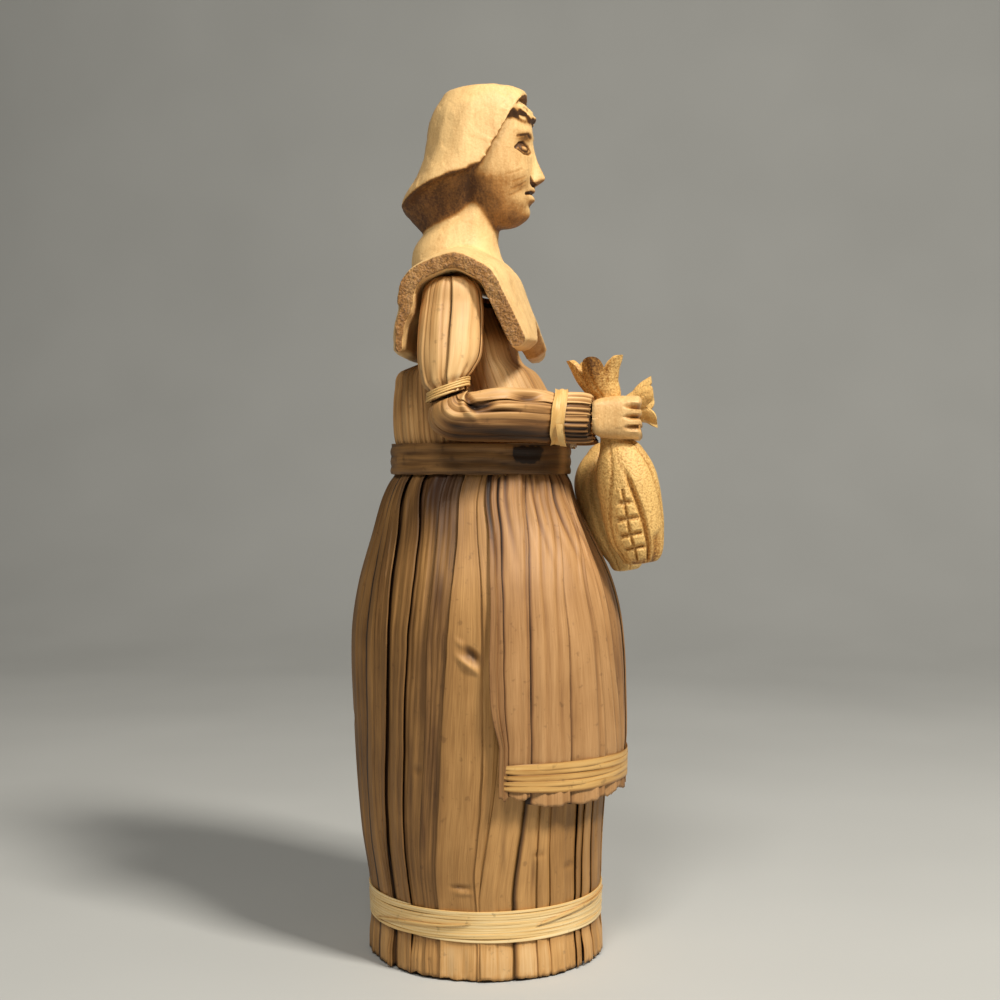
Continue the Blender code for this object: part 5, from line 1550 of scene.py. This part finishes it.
# Share along, forward and up from the grip, radius
RIGHT_EAR = (
    (0.00, 10.4, -46.2, 2.0), (0.02, 10.3, -45.6, 5.2), (0.09, 9.9, -41.4, 7.6),
    (0.20, 8.6, -36.1, 9.1), (0.36, 7.1, -26.9, 9.8), (0.50, 5.5, -18.5, 9.5),
    (0.62, 3.4, -11.3, 7.4), (0.68, 1.9, -7.1, 4.7), (0.74, 0.5, 0.0, 3.4),
    (0.81, -0.4, 7.1, 4.4), (0.87, -2.1, 10.5, 5.9), (0.94, -3.4, 14.7, 7.4),
    (1.00, -3.9, 19.2, 9.0),
)
LEFT_EAR = (
    (0.00, 5.3, -49.8, 1.8), (0.02, 5.2, -49.2, 4.2), (0.09, 4.8, -44.9, 6.5),
    (0.20, 2.9, -37.8, 8.8), (0.36, -0.2, -29.0, 9.8), (0.50, -2.5, -20.2, 9.5),
    (0.62, -0.8, -12.6, 6.9), (0.68, 1.3, -8.0, 4.4), (0.74, 1.3, -1.3, 3.4),
    (0.81, 5.9, 3.4, 4.2), (0.87, 9.2, 4.6, 5.7), (0.94, 11.8, 5.3, 7.3),
    (1.00, 14.6, 5.7, 8.6),
)
CROWN_PETALS = 5
# Tone of each ear; the left ear's is raised as painted light, to lift it out of the shade it
# stands in.
EAR_TONE = {-1: 0.62, 1: 0.84}
HUSK_GROOVE = 0.35
WEDGE_TURN = 34
PETAL_SPLIT = 2.6
PETAL_NOTCH = 0.075
EAR_FACING = 101
RIM_SHARE = 0.86
# Turn of each husk groove at the tip and how far it leans on the way up
HUSK_GROOVES = ((WEDGE_TURN, -26), (-46, 36), (88, -22), (-88, 22), (135, 10), (-135, -10),
                (176, 0))


def ear_axis(table, share):
    """Middle of an ear at a share along it, in the doll's side view, and its direction."""
    here = Vector((-follow(table, share, 1), follow(table, share, 2)))
    low = Vector((-follow(table, max(share - 0.02, 0), 1),
                  follow(table, max(share - 0.02, 0), 2)))
    high = Vector((-follow(table, min(share + 0.02, 1), 1),
                   follow(table, min(share + 0.02, 1), 2)))
    return here, (high - low).normalized()


def kernel_relief(turn, share):
    """Two columns of kernels facing outwards, with notches cut between them."""
    if bump(turn, 0, 62) <= 0 or share >= 0.44:
        return 0.0, 0.0
    edge = 23 - 17 * ease(0.24, 0.44, share)
    field = ease(edge + 5, edge - 3, abs(turn))
    row = (share - 0.02) / 0.088
    notch = 1 - min(abs(row - round(row)) / 0.26, 1)
    cut = max(notch, 1 - min(abs(turn) / 4.5, 1))
    # Painted shade in the notches between kernels, and the kernels a little paler.
    return field * (0.35 - 1.25 * cut), -0.42 * cut * field + 0.05 * field


def husk_relief(turn, share):
    """Grooves between the husk's leaves, which part round the kernels."""
    out = shade = 0.0
    for at, lean in HUSK_GROOVES:
        place = at + lean * ease(0.15, 0.66, share)
        cut = bump(turn, place, 8.0)
        deep = 1.0
        if at == WEDGE_TURN:
            deep = 5.0 * ease(0.0, 0.06, share) * ease(0.56, 0.44, share)
        out -= HUSK_GROOVE * deep * cut
        # Painted shade in the grooves.
        shade -= 0.06 * deep * cut
        shade -= 0.10 * cut * ease(0.70, 0.60, share)
    # A flat cut low on the husk, with painted shade on it.
    flat = bump(turn, WEDGE_TURN + 24, 20) * ease(0.20, 0.12, share)
    return out - 0.9 * flat, shade - 0.34 * flat


def make_ear(side, word, table):
    """One ear of corn with its husk and crown."""
    bm = new_form()
    facing = side * EAR_FACING

    def place(s, t):
        turn = s * 360 - 180
        away = wrapped(turn - facing) * -side
        petal = abs(((away / 360 * CROWN_PETALS) % 1) - 0.5) * 2
        notch = PETAL_NOTCH * (1 - petal) ** PETAL_SPLIT
        if t < RIM_SHARE:
            share = t / RIM_SHARE
            share -= notch * ease(0.86, 1.0, share)
            hollow = 0.0
        else:
            share = 1 - notch
            hollow = (t - RIM_SHARE) / (1 - RIM_SHARE)
        middle, along = ear_axis(table, min(share, 1))
        radius = follow(table, share, 3)
        crown = ease(0.80, 0.98, share)
        radius *= 1 + 0.20 * crown * (petal - 0.6)
        # Painted shade on the crown's petal that faces outwards, and in the notches between
        # petals.
        crown_shade = 0.62 * crown * (1 - abs(away) / 60) * (abs(away) < 60)
        out, shade = kernel_relief(away, share)
        more = husk_relief(away, share)
        out, shade = out + more[0], shade + more[1]
        shade -= crown_shade + 0.25 * crown * (1 - petal) ** 6
        if hollow:
            radius *= 0.80 * (1 - hollow)
            middle = middle - along * 4.5 * math.sin(hollow * math.pi / 2)
            # Painted shade deepening into the crown's hollow.
            out, shade = 0.0, -0.05 - 0.25 * hollow
        if t < 0.001:
            radius, out = 0.0, 0.0
        angle = math.radians(turn)
        across = Vector((-along.y, along.x))
        fade = min(radius / 4, 1)
        spot = Vector((side * GRIP_SPREAD + radius * math.sin(angle),
                       GRIP_Y + middle.x, GRIP_Z + middle.y))
        spot += Vector((0, across.x, across.y)) * radius * math.cos(angle)
        normal = Vector((math.sin(angle), across.x * math.cos(angle),
                         across.y * math.cos(angle)))
        out += knife_cut(spot, 5.5, 0.09) * fade
        spot += normal * out * fade
        return spot, EAR_TONE[side] + shade - 0.12 * ease(0.12, 0.0, share), 0.0

    bend_grid(bm, 170, 260, place, 60, 66)
    return wood_form(f"{word}_carved_ear", bm, ear_wood, [f"{word}_corn_ear"],
                     "arms")


for (side, word), table in zip(SIDES, (RIGHT_EAR, LEFT_EAR)):
    make_ear(side, word, table)
print("ears carved")

# %% [markdown]
# ## The carved bust
# Head, hood, hair, neck and collar are one block of wood. Each part starts as a closed form of
# its own. A voxel remesh then melts the forms into one skin, as if they had always been one
# block, and the last knife cuts are made on that skin, corner by corner. The remesh drops the
# attributes, so tone and sawn wood are worked out afterwards from where a corner lies.

# %% Hood
HEAD_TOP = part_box("carved_bust")[1].z / MM
HOOD_CORNERS = (0, 30, 60, 92, 122, 150, 180)
# Rim of the hood: turn from the front, then x, y, z
HOOD_RIM = (
    (0, 0.0, -13.8, 276.6), (12, 6.5, -13.6, 275.4), (24, 12.6, -12.2, 272.6),
    (38, 15.8, -8.6, 266.2), (52, 17.4, -4.8, 258.8), (66, 18.4, -1.4, 252.6),
    (80, 19.2, 4.2, 249.4), (100, 19.4, 11.5, 247.4), (122, 17.4, 18.4, 245.0),
    (145, 11.8, 24.4, 242.2), (163, 6.0, 27.3, 240.8), (180, 0.0, 28.0, 240.4),
)
# Where the hood's underside ends inside neck and face: turn, then x, y, z
HOOD_INSIDE = (
    (0, 0.0, -3.0, 273.0), (24, 5.0, -3.0, 268.0), (52, 8.0, 0.0, 254.0),
    (66, 8.5, 1.5, 246.0), (80, 8.6, 4.5, 240.5), (100, 8.4, 8.5, 237.0),
    (140, 7.0, 14.6, 233.4), (180, 0.0, 20.2, 231.6),
)
# Swell between shoulder and rim, at the back and at the side
HOOD_SWELL = ((0.0, 0.0, 0.0), (0.20, 1.5, 2.2), (0.42, 0.0, 1.8), (0.60, -1.5, 1.2),
              (0.78, -1.2, 0.5), (0.92, 0.1, 0.1), (1.0, 0.0, 0.0))


def facet(turn, corners, strength):
    """How far a flat side lies inside the curve between two corners, in shares."""
    for low, high in zip(corners, corners[1:]):
        if low <= turn <= high:
            half = math.radians(high - low) / 2
            at = math.radians(turn) - math.radians(low) - half
            return strength * (math.cos(half) / math.cos(at) - 1)
    return 0.0


def hood_place(s, t):
    """A corner of the hood, from its crown over the rim to inside the neck."""
    turn = s * 360 - 180
    side, turn = math.copysign(1, turn), abs(turn)
    angle = math.radians(turn)
    rim = Vector((follow(HOOD_RIM, turn, 1), follow(HOOD_RIM, turn, 2),
                  follow(HOOD_RIM, turn, 3)))
    crown = Vector((0, 0.5, HEAD_TOP))
    shoulder = Vector((12.8 * math.sin(angle), 0.8 - 13.2 * math.cos(angle),
                       HEAD_TOP - 1.5 - 1.0 * (1 - math.cos(angle)) / 2))
    if t < 0.25:
        share = t / 0.25
        spot = crown.lerp(shoulder, share)
        spot.z = crown.z - (crown.z - shoulder.z) * share ** 2.2
    elif t < 0.80:
        share = (t - 0.25) / 0.55
        spot = shoulder.lerp(rim, share)
        back = max(-math.cos(angle), 0)
        front = max(math.cos(angle), 0)
        swell = (follow(HOOD_SWELL, share, 1) * back
                 + follow(HOOD_SWELL, share, 2) * (1 - back) * (1 - 0.7 * front))
        outward = Vector((math.sin(angle), -math.cos(angle), 0))
        flat = facet(turn, HOOD_CORNERS, 7.5) * math.sin(math.pi * min(share + 0.12, 1))
        spot += outward * (swell + flat)
    else:
        share = (t - 0.80) / 0.20
        inside = Vector((follow(HOOD_INSIDE, turn, 1), follow(HOOD_INSIDE, turn, 2),
                         follow(HOOD_INSIDE, turn, 3)))
        if share < 0.75:
            k = share / 0.75
            spot = rim.lerp(inside, k)
            spot.z += 1.0 * math.sin(math.pi * k) * max(math.cos(angle), 0)
            ledge = ease(35, 66, turn) * (1 - 0.9 * ease(145, 176, turn))
            spot.z += 4.8 * math.sin(math.pi * k) * ledge
            spot.z -= 0.8 * math.sin(math.pi * k) * max(-math.cos(angle), 0)
        else:
            spot = inside.lerp(Vector((0, 5.0, 250.0)), (share - 0.75) / 0.25)
    spot.x *= side
    return spot, 0.5, 0.0


# %% Face, hair and neck
# Height, front y, back y, half width
FACE_ROWS = (
    (234.0, -8.6, 5.0, 4.6), (235.0, -11.0, 6.5, 6.0), (237.6, -13.2, 8.0, 8.2),
    (241.8, -14.7, 9.5, 10.6), (246.4, -15.2, 11.5, 12.7), (250.1, -15.5, 13.0, 13.9),
    (256.1, -15.4, 14.0, 14.4), (261.1, -15.3, 14.0, 14.4), (266.2, -15.0, 13.0, 14.0),
    (269.9, -14.2, 12.0, 13.0), (273.1, -12.0, 9.7, 11.0),
)
# Height, how far the nose stands out, half width of the nose
NOSE_ROWS = ((247.0, 0.0, 3.3), (247.9, 1.6, 3.5), (249.0, 3.3, 3.5), (250.0, 3.9, 3.2),
             (251.5, 3.3, 2.7), (255.0, 1.7, 2.1), (259.0, 0.5, 1.8), (262.0, 0.0, 1.8))
# Height, front y, back y, half width
NECK_ROWS = ((216.0, -8.0, 22.6, 16.0), (220.0, -7.2, 24.4, 15.2), (225.0, -4.8, 24.4, 13.4),
             (229.0, -4.0, 23.0, 12.0), (232.0, -4.1, 20.4, 11.0), (234.5, -4.2, 16.6, 10.2),
             (237.5, -4.4, 11.4, 9.4), (242.0, -4.6, 7.4, 8.8))
# Forms of the face: height, level, half height, place to each side, half width
FACE_FORMS = (
    (0.9, 248.4, 1.5, 2.9, 1.4), (0.8, 264.0, 2.2, 6.0, 6.5), (-1.7, 259.5, 3.6, 6.6, 4.8),
    (1.35, 258.6, 2.2, 6.5, 3.6), (1.0, 246.1, 1.3, 0, 5.6), (1.0, 243.1, 1.6, 0, 4.8),
    (-0.6, 241.0, 1.2, 0, 4.5), (0.9, 237.6, 3.0, 0, 5.5), (0.7, 250.5, 5.5, 8.6, 4.6),
    (-0.5, 244.5, 3.0, 7.6, 2.6),
)


def face_height(x, z):
    """How far the face stands out in front of its plain oval at a place."""
    across = abs(x)
    out = 0.0
    if NOSE_ROWS[0][0] < z < NOSE_ROWS[-1][0]:
        width = follow(NOSE_ROWS, z, 2)
        out += follow(NOSE_ROWS, z, 1) * max(1 - (across / width) ** 1.6, 0)
    for high, level, half, aside, width in FACE_FORMS:
        out += high * bump(z, level, half) * bump(across, aside, width)
    return out


def oval_place(rows, shape=None, pole=0.04):
    """A place function for an upright closed form from rows of height and reach."""
    def place(s, t):
        turn = math.radians(s * 360 - 180)
        share = min(max((t - pole) / (1 - 2 * pole), 0), 1)
        height = rows[0][0] + (rows[-1][0] - rows[0][0]) * share
        closed = min(t / pole, (1 - t) / pole, 1)
        front, back = follow(rows, height, 1), follow(rows, height, 2)
        reach, middle = (back - front) / 2 * closed, (front + back) / 2
        spot = Vector((follow(rows, height, 3) * closed * math.sin(turn),
                       middle - reach * math.cos(turn), height))
        if shape and math.cos(turn) > 0 and closed == 1:
            spot.y -= shape(spot.x, spot.z) * ease(0, 0.35, math.cos(turn))
        return spot, 0.5, 0.0
    return place


def hair_place(s, t):
    """A corner of the hair that shows between hood and forehead, combed in strands."""
    turn, rise = math.radians(s * 360 - 180), math.pi * (t - 0.5)
    spot = Vector((14.0 * math.sin(turn) * math.cos(rise),
                   -3.6 - 12.1 * math.cos(turn) * math.cos(rise), 269.8 + 6.0 * math.sin(rise)))
    across = abs(spot.x)
    strand = math.sin((spot.z - 0.34 * max(across - 3, 0) ** 1.25 + 0.7 * math.sin(
        across * 0.8)) * 2 * math.pi / 2.3)
    grow = 1 + 0.045 * strand + 0.03 * math.sin(spot.z * 1.1 + across * 0.5)
    spot.x *= grow
    spot.y = -3.6 + (spot.y + 3.6) * grow
    return spot, 0.5, 0.0


# %% Collar
COLLAR_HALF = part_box("carved_bust")[1].x / MM
AXIS_Z = 207.0
NOTCH_SHARE = 0.14
NOTCH_HALF = 17.0
# Share along, inner side's y and z about the arm axis, wall, doming
COLLAR_ROWS = (
    (0.00, -19.7, -15.6, 5.0, 2.9), (0.12, -16.2, -8.6, 5.2, 3.6), (0.26, -11.8, 0.7, 5.0, 4.6),
    (0.34, -9.5, 5.2, 4.9, 5.4), (0.42, -5.5, 7.6, 4.9, 5.8), (0.50, -1.2, 9.1, 4.9, 5.8),
    (0.60, 5.5, 7.0, 4.9, 4.9), (0.66, 8.7, 5.2, 4.9, 4.0), (0.72, 10.2, 2.8, 4.9, 3.1),
    (0.82, 11.4, -3.3, 4.7, 2.7), (0.90, 13.5, -8.2, 3.7, 2.7), (1.00, 14.2, -16.4, 3.2, 2.7),
)


def collar_wall(share, x):
    """Inner and outer point of the collar's wall at a share from front to back."""
    def inner(at):
        return Vector((follow(COLLAR_ROWS, at, 1), follow(COLLAR_ROWS, at, 2)))
    here = inner(share)
    along = (inner(min(share + 0.02, 1)) - inner(max(share - 0.02, 0))).normalized()
    spread = 1 - (x / COLLAR_HALF) ** 2
    wall = follow(COLLAR_ROWS, share, 3) + follow(COLLAR_ROWS, share, 4) * spread
    step = 0.9 * ease(0.80, 0.82, share) * ease(COLLAR_HALF - 10, COLLAR_HALF - 3, abs(x))
    outer = here + Vector((-along.y, along.x)) * (wall - step)
    return here, outer


def collar_place(s, t):
    """A corner of the collar: round its wall with s and across the shoulders with t."""
    x = COLLAR_HALF * (2 * min(max((t - 0.04) / 0.92, 0), 1) - 1)
    start = NOTCH_SHARE * max(1 - abs(x) / NOTCH_HALF, 0)
    around = s * 2
    share = around if around < 1 else 2 - around
    edge = min(share, 1 - share)
    share = start + (1 - start) * share
    inner, outer = collar_wall(share, x)
    closed = min(t / 0.04, (1 - t) / 0.04, 1)
    middle = (inner + outer) / 2
    target = inner if around < 1 else outer
    if edge < 0.012:
        target = target.lerp(middle, 1 - edge / 0.012)
    spot = middle.lerp(target, closed)
    return Vector((x, AXIS_Y + spot.x, AXIS_Z + spot.y)), 0.5, 0.0


# %% Melt the forms into one block
BUST_VOXEL = 0.56
# Columns, rows and surface of each form
BUST_FORMS = ((220, 200, hood_place), (200, 160, oval_place(FACE_ROWS, face_height)),
              (160, 90, hair_place), (90, 60, oval_place(NECK_ROWS)), (260, 200, collar_place))


def melt(name, bm, voxel):
    """Remesh closed forms that overlap into one skin, and open it for edits again."""
    bmesh.ops.recalc_face_normals(bm, faces=bm.faces)
    mesh = bpy.data.meshes.new(name)
    bm.to_mesh(mesh)
    bm.free()
    block = bpy.data.objects.new(name, mesh)
    bpy.context.scene.collection.objects.link(block)
    change = block.modifiers.new("melt", "REMESH")
    change.mode = "VOXEL"
    change.voxel_size = voxel * MM
    graph = bpy.context.evaluated_depsgraph_get()
    skin = bpy.data.meshes.new_from_object(block.evaluated_get(graph))
    bpy.data.objects.remove(block)
    fresh = bmesh.new()
    fresh.from_mesh(skin)
    bpy.data.meshes.remove(skin)
    fresh.loops.layers.uv.verify()
    for layer in ("tone", "stain", "sawn"):
        fresh.verts.layers.float.new(layer)
    return fresh


block = new_form()
for columns, rows, place in BUST_FORMS:
    corners = bend_grid(block, columns, rows, place, 10, 10)
    bmesh.ops.remove_doubles(block, verts=corners, dist=0.004 * MM)
bust = melt("bust_block", block, BUST_VOXEL)
face_edges = [edge for edge in bust.edges if all(
    corner.co.y < -6 * MM and 233 * MM < corner.co.z < 265 * MM
    and abs(corner.co.x) < 14 * MM for corner in edge.verts)]
bmesh.ops.subdivide_edges(bust, edges=face_edges, cuts=1, use_grid_fill=True)
print("bust block:", len(bust.verts), "corners,", len(bust.faces), "faces")

# %% [markdown]
# ## Cutting the face
# Lids, lips and strands are thin grooves. Each is a short line on the face in x and height,
# mirrored to the other side, and a corner near it is pushed in and darkened. Knife cuts then
# go over everything, larger on hood and collar than on the face.

# %% Grooves of the face
# Width, depth, then points in x and height
FACE_GROOVES = (
    (0.60, 0.60, ((3.0, 257.8), (4.2, 259.5), (6.4, 260.5), (8.6, 259.9), (10.4, 258.2))),
    (0.50, 0.40, ((3.0, 257.8), (5.0, 256.9), (7.6, 256.7), (10.4, 258.2))),
    (0.55, 0.22, ((3.2, 262.2), (6.4, 263.2), (9.8, 262.0))),
    (0.65, 0.85, ((0.0, 244.8), (2.6, 244.9), (5.2, 244.3))),
    (0.60, 0.70, ((1.2, 247.4), (2.6, 247.3), (3.8, 248.0), (4.0, 249.6))),
    (0.45, 0.08, ((7.6, 249.5), (10.6, 247.4))), (0.45, 0.08, ((7.2, 247.6), (10.2, 245.0))),
    (0.45, 0.08, ((7.4, 245.2), (9.6, 243.2))), (0.45, 0.07, ((9.2, 251.6), (12.0, 249.6))),
)
# Place of the iris in x and height, its radius, and how much wider than tall it is
IRIS_X, IRIS_Z, IRIS_RADIUS, IRIS_WIDTH = 6.8, 258.6, 1.30, 1.6


def line_distance(across, height, points):
    """Least distance from a place on the face to a line of points."""
    place = Vector((across, height))
    best = 99.0
    for start, end in zip(points, points[1:]):
        first, last = Vector(start), Vector(end)
        along = last - first
        share = min(max((place - first).dot(along) / along.length_squared, 0), 1)
        best = min(best, (place - first - along * share).length)
    return best


def face_cut(spot):
    """Depth and darkening of the face's grooves at a corner."""
    across, height = abs(spot.x), spot.z
    depth = 0.0
    for width, deep, points in FACE_GROOVES:
        reach = line_distance(across, height, points)
        if reach < width:
            depth = max(depth, deep * (1 - (reach / width) ** 2))
    away = math.hypot((across - IRIS_X) / IRIS_WIDTH, height - IRIS_Z)
    depth = max(depth, 0.34 * bump(away - IRIS_RADIUS, 0, 0.6))
    pupil = ease(IRIS_RADIUS + 0.2, IRIS_RADIUS - 0.5, away) * ease(0.3, 0.8, away)
    return max(depth, 0.20 * pupil), min(depth * 1.3, 0.62) + 0.40 * pupil


# %% Knife cuts over the whole bust
# Heights between which the block is smoothed, and how often
SMOOTHING = ((214, 240, 8), (240, 290, 2), (272, 290, 10))
RIM_POINTS, RIM_REACH, RIM_ROUNDS = 160, 1.9, 12
SOFT_ROUNDS = 3


def carve_bust(bm):
    """Move every corner of the bust along its normal and set its tone and sawn wood."""
    tone = bm.verts.layers.float["tone"]
    sawn = bm.verts.layers.float["sawn"]
    bm.normal_update()
    soft = {corner: corner.normal.copy() for corner in bm.verts}
    for _ in range(SOFT_ROUNDS):
        soft = {corner: sum((soft[edge.other_vert(corner)] for edge in corner.link_edges),
                            soft[corner] * 2) / (len(corner.link_edges) + 2)
                for corner in bm.verts}
    moved = {}
    for corner in bm.verts:
        spot, normal = corner.co / MM, corner.normal
        down = soft[corner].z
        shade, out = 0.66, 0.0
        if spot.y < -6 and 234 < spot.z < 264 and abs(spot.x) < 13.5:
            cut, dark = face_cut(spot)
            strength = ease(0.15, 0.45, -normal.y)
            out -= cut * strength
            shade -= dark * strength
            out += knife_cut(spot, 2.6, 0.07)
        else:
            out += knife_cut(spot, 5.0, 0.16)
        end = ease(COLLAR_HALF - 1.4, COLLAR_HALF - 0.4, abs(spot.x)) * ease(
            0.5, 0.8, abs(normal.x)) * ease(226, 224, spot.z)
        corner[sawn] = end
        out += end * 0.35 * ripple(spot.y / 0.9, spot.z / 0.9, 4)
        shade -= 0.34 * end
        shade += 0.06 * ripple(spot.x / 9, spot.z / 12 + spot.y / 9, 8)
        # Painted shade on surfaces that face down, under the hood, jaw and chin, a little weaker
        # on the front of the face.
        facing = ease(5, -14, spot.y) * ease(232, 236, spot.z) * ease(270, 262, spot.z)
        shade -= (0.62 - 0.22 * facing) * ease(0.04, -0.42 - 0.30 * facing, down) * ease(
            226.5, 229, spot.z)
        # Painted shade under the locks of hair.
        shade -= 0.30 * bump(spot.z, 268.6, 4.4) * ease(0.15, -0.45, normal.z) * (spot.y < -9)
        shade -= 0.10 * facing
        # Painted shade on the collar's inner faces, which face the body.
        far = ease(0.2, 0.7, -normal.x * (1 if spot.x > 0 else -1)) * (spot.z < 222)
        shade -= 0.45 * far
        moved[corner] = corner.co + normal * out * MM
        corner[tone] = shade
    for corner, place in moved.items():
        corner.co = place


def smooth_band(corners, rounds):
    """Move each of some corners towards the middle of its neighbours, again and again."""
    for _ in range(rounds):
        bmesh.ops.smooth_vert(bust, verts=corners, factor=0.5, use_axis_x=True,
                              use_axis_y=True, use_axis_z=True)


for low, high, rounds in SMOOTHING:
    smooth_band([c for c in bust.verts if low * MM < c.co.z < high * MM], rounds)
rim_tree = kdtree.KDTree(2 * RIM_POINTS)
for index in range(2 * RIM_POINTS):
    turn = 180 * (index % RIM_POINTS) / (RIM_POINTS - 1)
    side = 1 if index < RIM_POINTS else -1
    rim_tree.insert((side * follow(HOOD_RIM, turn, 1), follow(HOOD_RIM, turn, 2),
                     follow(HOOD_RIM, turn, 3)), index)
rim_tree.balance()
smooth_band([c for c in bust.verts if rim_tree.find(c.co / MM)[2] < RIM_REACH], RIM_ROUNDS)
carve_bust(bust)
piece = finish_piece("carved_wooden_bust", bust, linden, ["carved_bust"], sharp=60)
print("bust:", len(piece.data.polygons), "faces")

# %% [markdown]
# ## What is hidden inside
# A dowel carries the bust and a wire carries both arms. A twisted string holds the bodice and
# skirt leaves at the waist, under the belt. None of them shows, but each is a real piece.

# %% Dowel, wire and waist string
for node, finish in (("neck_dowel", linden), ("arm_wire", wire_steel)):
    solid = bpy.data.objects[node]
    solid.data.materials.clear()
    solid.data.materials.append(finish)

STRING_TWISTS = 26


def make_waist_string():
    """Two strands of string twisted round the waist."""
    low, high = (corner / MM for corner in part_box("waist_tie"))
    height, half = (low.z + high.z) / 2, (high.z - low.z) / 4
    reach = (high.x - low.x) / 2 - half
    middle = (low.y + high.y) / 2
    bm = new_form()
    for strand in (0, 1):
        def place(s, t, strand=strand):
            turn, round_it = 2 * math.pi * t, 2 * math.pi * s
            twist = STRING_TWISTS * turn + strand * math.pi
            out = reach + half * 0.5 * math.cos(twist) - half * 0.5 * math.cos(round_it)
            rise = height + half * 0.9 * math.sin(twist) + half * 0.9 * math.sin(round_it)
            return Vector((out * math.sin(turn), middle - out * math.cos(turn), rise)), 0.4, 0.0

        bend_grid(bm, 8, 420, place, 4, 175)
    return wood_form("waist_string", bm, raffia, ["waist_tie"], "figure")


make_waist_string()
print("hidden pieces finished")
